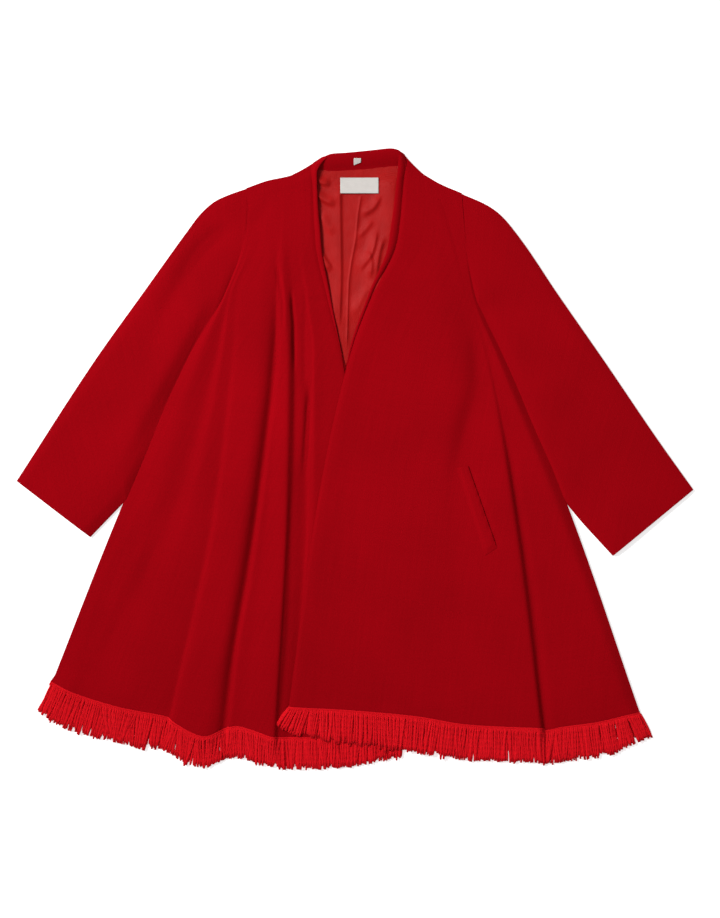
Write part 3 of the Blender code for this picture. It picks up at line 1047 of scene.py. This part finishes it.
@dataclass
class NeckBand:
    """The narrow band round the neck, which runs out along both front edges."""

    right: FrontPanel
    left: FrontPanel
    on_right: tuple[BandFront, ...] = (
        BandFront(0.030, 7.5, 4.0, 1.4),
        BandFront(0.060, 8.0, 2.5, 1.4),
        BandFront(0.100, 10.0, 1.5, 1.4),
        BandFront(0.150, 9.0, 0.8, 1.1),
        BandFront(0.210, 6.5, 0.3, 0.7),
        BandFront(0.300, 1.6, 0.0, 0.3),
        BandFront(0.360, 0.4, -0.6, -1.5),
    )
    on_left: tuple[BandFront, ...] = (
        BandFront(0.030, 11.0, 2.6, 1.1),
        BandFront(0.060, 12.5, 2.2, 1.2),
        BandFront(0.100, 14.0, 1.8, 1.5),
        BandFront(0.150, 11.0, 1.4, 1.5),
        BandFront(0.210, 6.5, 0.8, 1.0),
        BandFront(0.264, 5.0, 0.3, 0.6),
        BandFront(0.310, 3.4, 0.0, 0.1),
        BandFront(0.345, 0.4, -0.6, -1.5),
    )
    right_corner: tuple[BandBack, ...] = (
        BandBack(-40, 484.6, 8.0, -36, 484.4, 9.6, 0.0),
        BandBack(-48.5, 483.6, 7.8, -43.0, 481.8, 11.4, 0.5),
        BandBack(-59, 477.8, 7.0, -50.5, 475.0, 12.0, 1.0),
        BandBack(-68, 469.5, 7.0, -56.5, 466.5, 12.0, 1.2),
        BandBack(-70, 457, 7.2, -60.5, 457, 12.0, 1.4),
    )
    left_corner: tuple[BandBack, ...] = (
        BandBack(66, 493.2, 8.0, 62, 492.8, 9.6, 0.0),
        BandBack(74, 490.2, 7.6, 67, 489.4, 10.2, 0.6),
        BandBack(79.5, 483.5, 7.2, 69.5, 482.0, 10.2, 1.0),
        BandBack(81, 467, 7.0, 69, 467, 9.8, 1.1),
    )
    round_back: tuple[BandBack, ...] = (
        BandBack(-72, 446, 3.6, -68, 462, 7.0, 0.2),
        BandBack(-62, 461, 4.6, -57, 475, 9.0, 0.4),
        BandBack(-52, 464, 4.8, -46, 484.6, 11.0, 0.8),
        BandBack(-40, 462, 4.8, -35, 487.8, 11.5, 0.8),
        BandBack(-21, 463, 4.8, -16, 489, 11.5, 0.8),
        BandBack(21, 466, 4.8, 24, 492.8, 11.5, 0.8),
        BandBack(55, 470, 5.0, 56, 496, 12.0, 0.8),
        BandBack(76, 472, 5.2, 70, 493.4, 11.0, 0.6),
        BandBack(84, 458, 4.4, 80, 480, 7.2, 0.3),
    )
    section: tuple[BandPlace, ...] = (
        BandPlace(-0.14, 0.00, 0.00, -2.0),
        BandPlace(0.05, 0.05, 0.15, -0.6),
        BandPlace(0.32, 0.35, 0.80, 0.0),
        BandPlace(0.64, 0.72, 1.00, 0.0),
        BandPlace(0.90, 0.96, 0.60, -0.4),
        BandPlace(1.00, 1.00, 0.00, -1.6),
    )
    fall: tuple[BandPlace, ...] = (
        BandPlace(1.01, 0.72, 0.00, -1.2),
        BandPlace(0.99, 0.35, 0.00, -0.8),
        BandPlace(0.93, -0.05, 0.00, -0.4),
        BandPlace(0.80, -0.42, 0.00, 0.0),
    )
    node: str = "collar_band"
    front_rows: int = 70
    back_steps: int = 16
    columns: int = 4

    @staticmethod
    def on_front(panel: FrontPanel, inward: int, rows: tuple[BandFront, ...], shares: Points) -> Points:
        """Foot, edge and crown of the band on a front.

        Args:
            panel: The front.
            inward: Sign of X from the panel's edge towards the neck.
            rows: The band's table for this front.
            shares: Shares of the front edge to give.

        Returns:
            A row for each share: the foot's and the edge's coordinates, and the crown.
        """
        table = smooth_through([row.share for row in rows], np.array(rows), shares)
        foot = panel.line(panel.front_line, shares)
        _, width, rise, crown = table.T
        edge = foot + np.column_stack([inward * width, 0 * width, rise])
        return np.column_stack([foot, edge, crown])

    def roll(self, stations: Points, fall: tuple[BandPlace, ...] = ()) -> Points:
        """The band's face through a row of stations.

        Args:
            stations: The band's foot, edge and crown along it.
            fall: Places of its section beyond the free edge, where its outer face shows.

        Returns:
            Points by place across and along it.
        """
        foot, edge, crown = stations[:, :3], stations[:, 3:6], stations[:, 6]
        reach = edge - foot
        rows = []
        for place in self.section + fall:
            point = foot + reach * (place.width, place.width, place.rise)
            point[:, 2] += crown * place.crown + place.lift
            rows.append(point)
        table = np.array(rows).reshape(len(rows), -1)
        across = np.linspace(0, 1, self.columns * (len(rows) - 1) + 1)
        return smooth_through(np.linspace(0, 1, len(rows)), table, across).reshape(len(across), -1, 3)

    def through(self, stations: Points) -> Points:
        """Stations spread smoothly between those given."""
        places = np.linspace(0, len(stations) - 1, (len(stations) - 1) * self.back_steps + 1)
        return smooth_through(np.arange(len(stations)), stations, places)

    def build_strip(
        self,
        panel: FrontPanel,
        inward: int,
        rows: tuple[BandFront, ...],
        corner: tuple[BandBack, ...],
        on: list[str],
    ) -> None:
        """Lay the band's strip on one front and measure its cut.

        Args:
            panel: The front.
            inward: Sign of X from the panel's edge towards the neck.
            rows: The strip's table on the front.
            corner: The strip's table from the top of the neck to the front.
            on: Names of what it lies on.
        """
        shares = np.linspace(rows[0].share, rows[-1].share, self.front_rows)
        front = self.on_front(panel, inward, rows, shares)
        top = self.through(np.vstack([np.array(corner, float), front[:1]]))[:-1]
        points = self.roll(np.vstack([top, front]))
        sew(f"neck_band_on_{panel.node}", points, CLOTH, WOOL, on)

    def build(self) -> bpy.types.Object:
        """Lay the band round the back and its strips on both fronts.

        Returns:
            The band round the back.
        """
        points = self.roll(self.through(np.array(self.round_back, float)), self.fall)
        piece = sew("neck_band_cloth", points, CLOTH, WOOL, ["back_cloth", "lining_satin"], self.node)
        self.build_strip(self.right, 1, self.on_right, self.right_corner, ["front_right_cloth", piece.name])
        self.build_strip(self.left, -1, self.on_left, self.left_corner, ["front_left_cloth", piece.name])
        return piece


MIDDLE_SEAM: Path2D = ((10, 423), (5, 390), (1, 350), (-5, 318), (-10, 278), (-13, 174))


@dataclass
class BackLining:
    """The satin lining that shows in the neck, with its pleat, its seam and its wrinkles."""

    rows: tuple[LiningRow, ...] = (
        LiningRow(470, 478, -62, 78),
        LiningRow(426, 430, -78, 92),
        LiningRow(350, 350, -76, 86),
        LiningRow(254, 254, -60, 44),
        LiningRow(158, 158, -40, 12),
        LiningRow(62, 62, -28, -6),
    )
    creases: tuple[Crease, ...] = (
        # the standing pleat on the wearer's right
        Crease(((-25, 440), (-24, 380), (-23, 300), (-26, 205)), -2.6, 3.0, 15.0, 0.1, 0.15),
        # the middle seam, which stands up along its right side
        Crease(MIDDLE_SEAM, -0.9, 0.9, 2.0, 0.03, 0.1),
        Crease(MIDDLE_SEAM, -1.0, 3.0, 18.0, 0.03, 0.1),
        # the broad rise towards the left front
        Crease(((60, 462), (60, 400), (52, 340), (36, 280), (10, 210)), -4.6, 12.0, 26.0, 0.1, 0.1),
        # wrinkles by the right front
        Crease(((-66, 452), (-54, 442), (-38, 438)), -3.4, 7.0, 3.5),
        Crease(((-66, 432), (-56, 418), (-30, 404)), -4.0, 9.0, 3.5),
        Crease(((-56, 396), (-44, 372), (-34, 356)), -2.0, 8.0, 5.0),
        Crease(((-58, 334), (-47, 316), (-36, 300)), -3.4, 3.5, 9.0),
        # wrinkles that fall from the wearer's left into the middle seam
        Crease(((42, 424), (30, 402), (8, 388)), -2.8, 3.5, 9.0),
        Crease(((30, 384), (16, 366), (2, 352)), -2.0, 4.0, 7.0),
        Crease(((36, 372), (28, 332), (4, 298)), -3.4, 3.5, 10.0),
        Crease(((18, 336), (26, 314), (24, 286)), -2.6, 3.5, 6.0),
        Crease(((48, 360), (38, 326), (32, 284)), -3.2, 3.5, 10.0),
        Crease(((24, 278), (8, 250), (-4, 224)), -1.2, 5.0, 8.0),
    )
    node: str = "lining_back"
    along: int = 190
    across: int = 150
    crumple: float = 0.2
    crumple_length: float = 40.0
    seed: int = 41

    def build(self) -> bpy.types.Object:
        """Lay the lining on the back and measure its cut.

        Returns:
            The piece.
        """
        places = np.linspace(0, 1, self.along + 1)
        over = np.linspace(0, 1, self.across + 1)[:, None]
        table = smooth_through(np.linspace(0, 1, len(self.rows)), np.array(self.rows), places)
        y_left, y_right, left, right = table.T
        x = left + (right - left) * over
        y = y_left + (y_right - y_left) * over
        points = np.dstack([x, y, np.full_like(x, CLOTH + SEAM + LINING_CLOTH)])
        sink(points, self.creases)
        points[..., 2] += np.abs(soft_waves(points[..., :2], self.seed, self.crumple, self.crumple_length))
        return sew("lining_satin", points, LINING_CLOTH, SATIN, ["back_cloth"], self.node)


@dataclass
class Label:
    """The blank woven label under the back neck seam, and the small folded size tab."""

    centre: Pair = (7, 437)
    size: Pair = (61, 25)
    cloth: float = 0.6
    curl: float = 0.7
    curl_power: int = 3
    columns: int = 48
    rows: int = 20
    tab_corners: Path2D = ((-2, 480), (9.5, 480), (9.5, 473.5), (-2, 469))
    tab_cloth: float = 0.8
    tab_steps: int = 10

    def build(self, lining: bpy.types.Object) -> None:
        """Lay the label on the lining and measure its cut.

        Args:
            lining: The lining, already laid.
        """
        half = np.array(self.size) / 2
        x = np.linspace(-half[0], half[0], self.columns + 1)
        y = np.linspace(-half[1], half[1], self.rows + 1)
        plan = np.dstack(np.meshgrid(x, y, indexing="ij")) + self.centre
        bent = np.abs(np.outer(x / half[0], y / half[1])) ** self.curl_power * self.curl
        rest = height_on(lining)(plan[..., 0], plan[..., 1]).max()
        points = np.dstack([plan, np.full(plan.shape[:2], rest + TRIM_GAP + self.cloth) + bent])
        sew("label_ribbon", points, self.cloth, RIBBON, [lining.name], "label")

    def build_tab(self, band: bpy.types.Object) -> None:
        """Lay the size tab on the inner face of the band and measure its cut.

        Args:
            band: The band round the back.
        """
        share = np.linspace(0, 1, self.tab_steps + 1)
        first, second, third, fourth = np.array(self.tab_corners, float)
        top = first + (second - first) * share[:, None]
        low = fourth + (third - fourth) * share[:, None]
        plan = top[:, None] + (low - top)[:, None] * share[None, :, None]
        lift = height_on(band)(plan[..., 0], plan[..., 1]) + TRIM_GAP + self.tab_cloth
        points = np.dstack([plan, lift])
        sew("size_tab_ribbon", points, self.tab_cloth, RIBBON, [band.name], "size_tab")


@dataclass
class PocketWelt:
    """The welt of the slanted pocket on the left front, open along its outer edge."""

    outer: Path2D = ((181, -12), (227, -143))
    inner: Path2D = ((162, -15), (208, -156))
    cloth: float = 1.2
    rise: float = 0.5
    seam_lift: float = 0.3
    inner_fall: float = 0.4
    end_fall: float = 0.07
    columns: int = 18
    rows: int = 70
    node: str = "pocket_welt_left"

    def build(self, front: bpy.types.Object) -> bpy.types.Object:
        """Lay the welt on the front and measure its cut.

        Args:
            front: The left front, already laid.

        Returns:
            The piece.
        """
        down = np.linspace(0, 1, self.rows + 1)
        over = np.linspace(0, 1, self.columns + 1)
        inner, outer = (
            np.array(start) + (np.array(stop) - start) * down[:, None]
            for start, stop in (self.inner, self.outer)
        )
        plan = inner + (outer - inner) * over[:, None, None]
        loose = smooth_step(over / self.inner_fall)[:, None] * smooth_step((1 - down) / self.end_fall)
        rise = self.seam_lift + (self.cloth + self.rise - self.seam_lift) * loose
        lift = height_on(front)(plan[..., 0], plan[..., 1]) + rise
        points = np.dstack([plan, lift])
        return sew("pocket_welt_cloth", points, self.cloth, WOOL, [front.name], self.node)


@dataclass
class Fringe:
    """A run of fringe: a twisted heading along a hem, and three layers of yarn that hang from it."""

    node: str
    hem: Points
    strands: int
    lean: Path2D
    length: Path2D
    tips: Path2D
    seed: int
    heading: float = 8.0
    overlap: float = 1.2
    yarn: float = 2.05
    flatness: float = 0.8
    # how far each layer lies below the hem's face, and how far its strands gather in clumps
    layers: Path2D = ((3.0, 0.0), (2.2, 0.7), (1.0, 1.0))
    rings: int = 8
    sides: int = 6
    # where in the heading a strand starts, and its girth from root to tip
    root: float = 0.55
    taper: Path2D = ((0.0, 0.9), (0.5, 1.0), (0.88, 1.0), (1.0, 0.72))
    # how uneven the strands are, alone and in clumps
    jitter: float = 0.3
    clump_chance: float = 0.3
    clump_lean: float = 2.5
    clump_length: float = 0.05
    strand_lean: float = 1.0
    strand_length: float = 0.025
    pull: Pair = (0.4, 0.85)
    pull_power: float = 1.5
    tip_rise: float = 1.0
    bend: float = 0.9
    fall: Pair = (1.4, 2.2)
    girth: Pair = (0.85, 1.12)
    # each cord's place in quarters of the heading, the hand of its twist and its tone
    cords: tuple[Triple, ...] = ((1, 1, 0.75), (3, -1, 0.6))
    cord_width: float = 1.15
    cord_height: float = 0.5
    cord_drop: float = 0.55
    cord_sides: int = 10
    cord_step: float = 1.0
    cord_pitch: float = 4.0
    cord_relief: float = 0.07

    def read(self, turns: Path2D, at: Points) -> Points:
        """Read a table of values at shares of the hem."""
        return smooth_through(*zip(*turns), at)[:, 0]

    def away(self, lean: Points) -> Points:
        """Directions in plan that lead away from the hem at a lean, in radians."""
        return np.column_stack([np.sin(lean), -np.cos(lean), np.zeros_like(lean)])

    def layer(self, drop: float, loose: float, draw: np.random.Generator) -> tuple[Points, Points]:
        """One layer of strands.

        Args:
            drop: How far it lies below the hem's upper face.
            loose: How far its strands gather in clumps, from 0 to 1.
            draw: Source of the random draws.

        Returns:
            The strands' middle lines and their half widths, by strand and ring.
        """
        count = self.strands
        shares = (np.arange(count) + 0.5 + draw.uniform(-self.jitter, self.jitter, count)) / count
        clump = np.cumsum(draw.random(count) < self.clump_chance)
        uneven = draw.normal(0, 1, (clump[-1] + 1, 2))[clump]
        sway = uneven[:, 0] * self.clump_lean + draw.normal(0, self.strand_lean, count)
        lean = np.radians(self.read(self.lean, shares) + sway * loose)
        stretch = 1 + uneven[:, 1] * self.clump_length + draw.normal(0, self.strand_length, count)
        length = self.read(self.length, shares) * stretch
        middle = np.array([shares[clump == group].mean() for group in clump])
        pull = (middle - shares) * path_reach(self.hem)[-1] * draw.uniform(*self.pull, count) * loose
        root = read_path(self.hem, shares) + self.away(lean) * (self.heading * self.root - self.overlap)
        root[:, 2] = np.maximum(root[:, 2] - drop, self.yarn)
        rise = self.yarn * self.flatness + draw.uniform(0, self.tip_rise, count)
        tip_height = np.minimum(self.read(self.tips, shares) + rise, root[:, 2])
        share = np.linspace(0, 1, self.rings)
        reach = length + self.heading * (1 - self.root)
        paths = root[:, None] + self.away(lean)[:, None] * reach[:, None, None] * share[:, None]
        bend = draw.normal(0, self.bend, (count, 1)) * np.sin(math.pi * share)
        paths[..., 0] += pull[:, None] * share**self.pull_power + bend
        fall = 1 - (1 - share) ** draw.uniform(*self.fall, (count, 1))
        paths[..., 2] += (tip_height - root[:, 2])[:, None] * fall
        slim = np.interp(share, *zip(*self.taper))
        return paths, self.yarn * slim * draw.uniform(*self.girth, (count, 1))

    def build_strands(self) -> bpy.types.Object:
        """Make all layers of strands as one piece.

        Returns:
            The piece.
        """
        draw = np.random.default_rng(self.seed)
        layers = [self.layer(drop, loose, draw) for drop, loose in self.layers]
        paths, widths = (np.concatenate(part) for part in zip(*layers))
        half = widths[..., None] * np.ones(self.sides)
        rings = ring_grid(paths, half, half * self.flatness, self.sides)
        return join_tubes(f"{self.node}_yarn", rings, draw.random(len(paths)), YARN)

    def build_heading(self) -> bpy.types.Object:
        """Make the two twisted cords of the heading as one piece.

        Returns:
            The piece.
        """
        length = path_reach(self.hem)[-1]
        shares = np.linspace(0, 1, round(length / self.cord_step))
        hem = read_path(self.hem, shares)
        away = self.away(np.radians(self.read(self.lean, shares)))
        radius = self.heading / 4
        turn = np.linspace(0, 2 * math.pi, self.cord_sides, endpoint=False)
        rings = []
        for place, hand, _ in self.cords:
            path = hem + away * (radius * place - self.overlap)
            path[:, 2] -= radius * self.cord_drop
            twist = np.sin(2 * turn + hand * 2 * math.pi * shares[:, None] * length / self.cord_pitch)
            relief = radius * (1 + self.cord_relief * twist)[None]
            wide, high = relief * self.cord_width, relief * self.cord_height
            rings.append(ring_grid(path[None], wide, high, self.cord_sides))
        tones = np.array(self.cords)[:, 2]
        return join_tubes(f"{self.node}_heading", np.concatenate(rings), tones, YARN)

    def build(self) -> tuple[bpy.types.Object, bpy.types.Object]:
        """Make the fringe in its solid's place.

        Returns:
            The strands and the heading.
        """
        strands = self.build_strands()
        stand_for(strands, YARN.slot, self.node)
        heading = self.build_heading()
        stand_for(heading, YARN.slot)
        return strands, heading


@dataclass
class Studio:
    """A pale floor, soft light from above and from the top left, and a camera straight above."""

    image_height: float = 1.4688
    lens: float = 100.0
    sensor: float = 36.0
    aim: Triple = (0.008, -0.0008, 0.008)
    floor_size: float = 40.0
    floor_drop: float = 0.0004
    key_place: Triple = (-3.12, 1.79, 3.47)
    key_aim: Triple = (0.0, 0.15, 0.0)
    key_size: float = 1.8
    key_spread: float = 36.0
    key_power: float = 20.7
    sky: float = 0.45
    backdrop: float = 0.88

    def build(self) -> None:
        """Make the floor, the lights and the camera."""
        self.lay_floor()
        self.hang_key()
        self.light_sky()
        self.set_camera()

    def lay_floor(self) -> None:
        """Lay the floor just below the coat."""
        mesh = bmesh.new()
        bmesh.ops.create_grid(mesh, x_segments=4, y_segments=4, size=self.floor_size / 2)
        bmesh.ops.translate(mesh, verts=mesh.verts[:], vec=(0, 0, -self.floor_drop))
        data = bpy.data.meshes.new("floor")
        mesh.to_mesh(data)
        mesh.free()
        link("floor", data, FLOOR)

    def hang_key(self) -> None:
        """Hang the soft light at the top left."""
        lamp = bpy.data.lights.new("key", "AREA")
        lamp.shape = "DISK"
        lamp.size = self.key_size
        lamp.energy = self.key_power
        lamp.spread = math.radians(self.key_spread)
        key = bpy.data.objects.new("key", lamp)
        key.location = self.key_place
        key.rotation_euler = (Vector(self.key_aim) - key.location).to_track_quat("-Z", "Y").to_euler()
        bpy.context.scene.collection.objects.link(key)

    def light_sky(self) -> None:
        """Light the coat evenly from above, with a brighter sky where the camera sees it."""
        world = bpy.data.worlds.new("studio")
        world.use_nodes = True
        tree = world.node_tree
        sky = tree.nodes["Background"]
        sky.inputs["Color"].default_value = (1.0, 1.0, 1.0, 1.0)
        seen = tree.nodes.new("ShaderNodeLightPath")
        strength = tree.nodes.new("ShaderNodeMapRange")
        strength.inputs["To Min"].default_value = self.sky
        strength.inputs["To Max"].default_value = self.backdrop
        tree.links.new(seen.outputs["Is Camera Ray"], strength.inputs["Value"])
        tree.links.new(strength.outputs["Result"], sky.inputs["Strength"])
        bpy.context.scene.world = world

    def set_camera(self) -> None:
        """Set the camera straight above the coat, at the photo's framing."""
        view = bpy.data.cameras.new("photo_view")
        view.lens = self.lens
        view.sensor_width = self.sensor
        camera = bpy.data.objects.new("photo_view", view)
        distance = self.image_height * self.lens / self.sensor
        camera.location = Vector(self.aim) + Vector((0, 0, distance))
        bpy.context.scene.collection.objects.link(camera)
        bpy.context.scene.camera = camera
        bpy.context.scene.view_settings.view_transform = "Standard"


FRONT_RIGHT = FrontPanel(
    node="front_right",
    front_line=-1,
    shoulder=((-174, 433), (-140, 445), (-104, 453), (-82, 464), (-69, 472)),
    shoulder_lift=(EDGE, 7.0),
    lines=(
        # side edge, its roll and the trough beside the roll
        FoldLine(-179, -210, -265, -369, -485, -358, 6.2, EDGE, EDGE, EDGE, EDGE),
        FoldLine(-174, -206, -247, -322, -458, -372, 6.6, 7.2, 8.0, 7.6, 7.4),
        FoldLine(-169, -202, -223, -287, -437, -380, 6.8, 7.2, 5.2, 5.4, 6.4),
        FoldLine(-163, -197, -211, -257, -376, -398, 7.0, 7.8, 7.8, 8.2, 8.2),
        # the broad fold, from its soft foot to its sharp crease
        FoldLine(-155, -190, -198, -227, -299, -414, 7.0, 7.5, 7.6, 7.4, 6.4),
        FoldLine(-147, -179, -186, -214, -292, -420, 7.2, 8.2, 9.4, 10.0, 10.4),
        FoldLine(-136, -150, -154, -178, -242, -444, 7.4, 9.2, 11.6, 13.4, 13.0),
        FoldLine(-126, -127, -129, -154, -209, -432, 7.4, 7.6, 8.4, 8.6, 8.0),
        # the second fold and the deepest crease
        FoldLine(-122, -123, -124.5, -141, -188, -428, 7.6, 8.8, 9.6, 9.0, 8.2),
        FoldLine(-116, -114, -108.5, -112, -133, -445, 8.0, 11.0, 12.8, 14.4, 13.0),
        FoldLine(-105, -99, -96, -102, -123.5, -446, 7.6, 7.4, 7.4, 9.4, 8.4),
        # the shelf beside it, which ends at the short third crease
        FoldLine(-99, -90, -80, -80, -106, -446, 7.6, 7.0, 5.8, 4.5, 4.4),
        FoldLine(-93, -82, -70, -72, -97, -446, 7.6, 7.2, 6.8, 7.0, 6.2),
        # the narrow fold and the strip under the other front
        FoldLine(-84, -75, -64, -65, -80, -446, 7.8, 8.4, 8.6, 8.2, 6.6),
        FoldLine(-73, -62, -46, -46, -24, -444, 7.8, 7.8, 7.2, 6.8, 6.6),
        FoldLine(-64, -46, -22, 18, 75, -428, 7.6, 7.2, 6.6, 6.4, 6.2),
    ),
    creases=(
        # the broad fold's foot, and the crease on its other side
        Crease(
            ((-195, 206), (-214, 14), (-240, -162), (-264, -290), (-298, -415), (-302, -440)),
            depth=0.7, left=5, right=12, fade_in=0.2, fade_out=0,
        ),
        Crease(
            ((-122, 300), (-127, 174), (-142, 30), (-168, -162), (-193, -306), (-208.5, -440)),
            depth=5.0, left=4.5, right=8, fade_in=0.2, fade_out=0,
        ),
        Crease(((-127, 316), (-121, 292), (-115, 239), (-116, 212), (-125, 174)), 2.4, 2.5, 5, 0.2, 0.5),
        # the deepest crease, its darkest stretch and the short one beside it
        Crease(
            ((-100, 300), (-96, 190), (-97, 30), (-102, -98), (-107.5, -258), (-123.5, -450)),
            depth=1.0, left=6, right=3, fade_in=0.15, fade_out=0,
        ),
        Crease(((-102, 275), (-99, 237), (-97, 212), (-97, 182), (-97, 130)), 5.0, 2.0, 3.2, 0.25, 0.4),
        Crease(((-85, 297), (-79, 265), (-81, 190), (-80, 94)), 0.7, 4, 4, 0.3, 0.3),
        Crease(((-82, 130), (-83, 80), (-85, 30), (-90, -40)), -2.0, 5.0, 9.0, 0.3, 0.4),
        Crease(((-72, 130), (-73, 80), (-75, 30), (-80, -40)), 3.6, 2.5, 5.0, 0.3, 0.4),
        # small wrinkles below the neck and on the shoulder
        Crease(((-90, 256), (-66, 252), (-44, 256)), 0.7, 6, 6, 0.4, 0.4),
        Crease(((-132, 420), (-152, 388), (-172, 356)), 0.9, 12, 12, 0.4, 0.4),
        # the trough beside the side's roll
        Crease(((-300, -50), (-328, -98), (-368, -162), (-453, -372)), 1.3, 14, 14, 0.3, 0.2),
    ),
    seed=11,
)

FRONT_LEFT = FrontPanel(
    node="front_left",
    front_line=0,
    shoulder=((81, 484), (91, 473), (109, 456), (136, 440), (171, 425)),
    shoulder_lift=(7.0, EDGE),
    lines=(
        # front edge, its roll and the plain front
        FoldLine(68, 28, -8, -59, -106, -397, 7.6, 8.6, 10.0, 11.0, 10.0),
        FoldLine(78, 40, 5, -46, -93, -398, 8.6, 9.8, 11.0, 11.6, 10.6),
        FoldLine(91, 67, 37, -8, -32, -401, 8.6, 9.6, 10.5, 10.6, 9.6),
        FoldLine(110, 101, 88, 80, 96, -412, 8.6, 10.0, 10.8, 10.8, 9.2),
        FoldLine(126, 130, 148, 138, 160, -423, 8.6, 10.0, 11.2, 10.6, 8.6),
        # the soft trough that falls from the armpit
        FoldLine(142, 164, 190, 162, 184, -426, 8.4, 8.4, 8.0, 9.8, 8.6),
        FoldLine(152, 174, 200, 202, 240, -429, 8.0, 7.8, 8.2, 10.6, 10.2),
        # the side fold and its sharp crease
        FoldLine(158, 179, 208, 247, 294, -431, 7.2, 7.4, 8.8, 12.2, 12.2),
        FoldLine(163, 182, 213, 259, 306, -435, 7.0, 7.2, 8.4, 8.4, 7.0),
        FoldLine(167, 184, 217, 276, 328, -430, 6.8, 7.0, 8.6, 7.4, 6.4),
        # the side, its roll and its edge
        FoldLine(171, 186, 221, 300, 386, -422, 6.6, 6.8, 9.2, 9.0, 7.6),
        FoldLine(174, 188, 226, 318, 437, -410, 6.4, 6.6, 9.4, 10.4, 8.2),
        FoldLine(177, 194, 237, 337, 456, -406, 6.2, EDGE, EDGE, EDGE, EDGE),
    ),
    creases=(
        # the soft trough from the armpit, and the side fold's crease
        Crease(
            ((186, 240), (195, 190), (199, 126), (184, 62), (168, -2), (150, -60)),
            depth=3.6, left=34, right=15, fade_in=0.35, fade_out=0.45,
        ),
        Crease(
            ((218, 102), (243, 30), (259, -66), (274, -162), (291, -290), (306, -445)),
            depth=2.6, left=9, right=6, fade_in=0.3, fade_out=0,
        ),
        # the pocket's opening
        Crease(((180, -8), (204, -78), (229, -147)), 1.5, 3.0, 2.0, 0.12, 0.12),
    ),
    seed=12,
)

SLEEVE_RIGHT = Sleeve(
    name="sleeve_right",
    panel=FRONT_RIGHT,
    line=0,
    side=Side.RIGHT,
    top_edge=((-200, 423), (-224, 412), (-248, 391), (-267, 366), (-341, 263), (-416, 158), (-542, -36)),
    low_end=((-397, -98), (-424, -126)),
    lines=(
        SleeveLine(0.00, EDGE, EDGE, EDGE),
        SleeveLine(0.09, 5.4, 7.4, 6.8),
        SleeveLine(0.22, 5.9, 8.2, 7.5),
        SleeveLine(0.45, 6.2, 9.8, 8.8),
        SleeveLine(0.70, 6.6, 11.6, 9.4),
        SleeveLine(0.88, 5.9, 9.2, 8.6),
        SleeveLine(1.00, EDGE, EDGE, EDGE),
    ),
    creases=(
        Crease(((-180, 384), (-238, 342), (-286, 270), (-326, 190), (-352, 140)), 3.2, 18, 15, 0.2, 0.6),
        Crease(((-226, 262), (-300, 140), (-392, -2)), -1.2, 22, 30, 0.3, 0.4),
        Crease(((-214, 262), (-262, 176), (-310, 84), (-350, 0), (-366, -40)), 2.2, 8, 14, 0.15, 0.3),
    ),
    seed=21,
)

SLEEVE_LEFT = Sleeve(
    name="sleeve_left",
    panel=FRONT_LEFT,
    line=-1,
    side=Side.LEFT,
    top_edge=((211, 406), (232, 391), (264, 353), (325, 263), (398, 158), (485, 30), (542, -50)),
    low_end=((360, -98), (389, -130), (413, -156)),
    lines=(
        SleeveLine(0.00, EDGE, EDGE, EDGE),
        SleeveLine(0.08, 5.2, 6.2, 6.0),
        SleeveLine(0.22, 5.6, 7.0, 6.8),
        SleeveLine(0.50, 6.0, 8.2, 7.8),
        SleeveLine(0.80, 6.2, 9.0, 8.6),
        SleeveLine(0.95, 5.6, 7.8, 7.8),
        SleeveLine(1.00, EDGE, EDGE, EDGE),
    ),
    creases=(
        Crease(((200, 266), (264, 246), (328, 206), (368, 182)), 1.2, 18, 22, 0.2, 0.5),
        Crease(((196, 262), (226, 186), (262, 110), (300, 20)), 1.8, 14, 8, 0.12, 0.4),
        Crease(((260, 190), (340, 60), (400, -40)), -1.0, 26, 26, 0.4, 0.4),
    ),
    seed=22,
)


def main() -> None:
    """Build the coat from the floor up, and dress each piece."""
    logging.basicConfig(level=logging.INFO, format="%(message)s")
    Studio().build()
    back = BackPanel(FRONT_RIGHT, FRONT_LEFT)
    back.build()
    lining = BackLining().build()
    for sleeve in (SLEEVE_RIGHT, SLEEVE_LEFT):
        sleeve.build()
    right, right_points = FRONT_RIGHT.build()
    left, left_points = FRONT_LEFT.build()
    band = NeckBand(FRONT_RIGHT, FRONT_LEFT).build()
    label = Label()
    label.build(lining)
    label.build_tab(band)
    welt = PocketWelt().build(left)

    hem = back.hem_line()
    back_hem = np.hstack([hem, np.full((len(hem), 1), CLOTH)])
    Fringe(
        node="fringe_back",
        hem=back_hem,
        strands=124,
        lean=((0.0, -24), (0.15, -10), (0.5, 0), (0.85, 8), (1.0, 26)),
        length=((0.0, 36), (0.1, 42), (0.9, 42), (1.0, 36)),
        tips=((0.0, 0.3), (1.0, 0.3)),
        seed=31,
    ).build()
    trim_right = Fringe(
        node="fringe_front_right",
        hem=right_points[:, -1],
        strands=185,
        lean=((0.0, -28), (0.1, -17), (0.29, -9), (0.36, -13), (0.46, -3), (0.52, 2), (1.0, 0)),
        length=((0.0, 44), (0.08, 49), (0.28, 48), (0.36, 42), (1.0, 42)),
        tips=((0.0, 2.8), (1.0, 2.8)),
        seed=32,
    ).build()
    trim_left = Fringe(
        node="fringe_front_left",
        hem=left_points[:, -1],
        strands=185,
        lean=(
            (0.0, -38), (0.04, -20), (0.1, -4), (0.3, 0), (0.42, -6),
            (0.55, -2), (0.8, 2), (0.92, 11), (1.0, 30),
        ),
        length=((0.0, 30), (0.1, 42), (0.3, 49), (0.9, 45), (1.0, 37)),
        tips=((0.0, 7.6), (0.36, 7.6), (0.5, 2.8), (1.0, 2.8)),
        seed=33,
    ).build()
    FRONT_RIGHT.dress(right, right_points)
    FRONT_LEFT.dress(left, left_points)


if __name__ == "__main__":
    main()
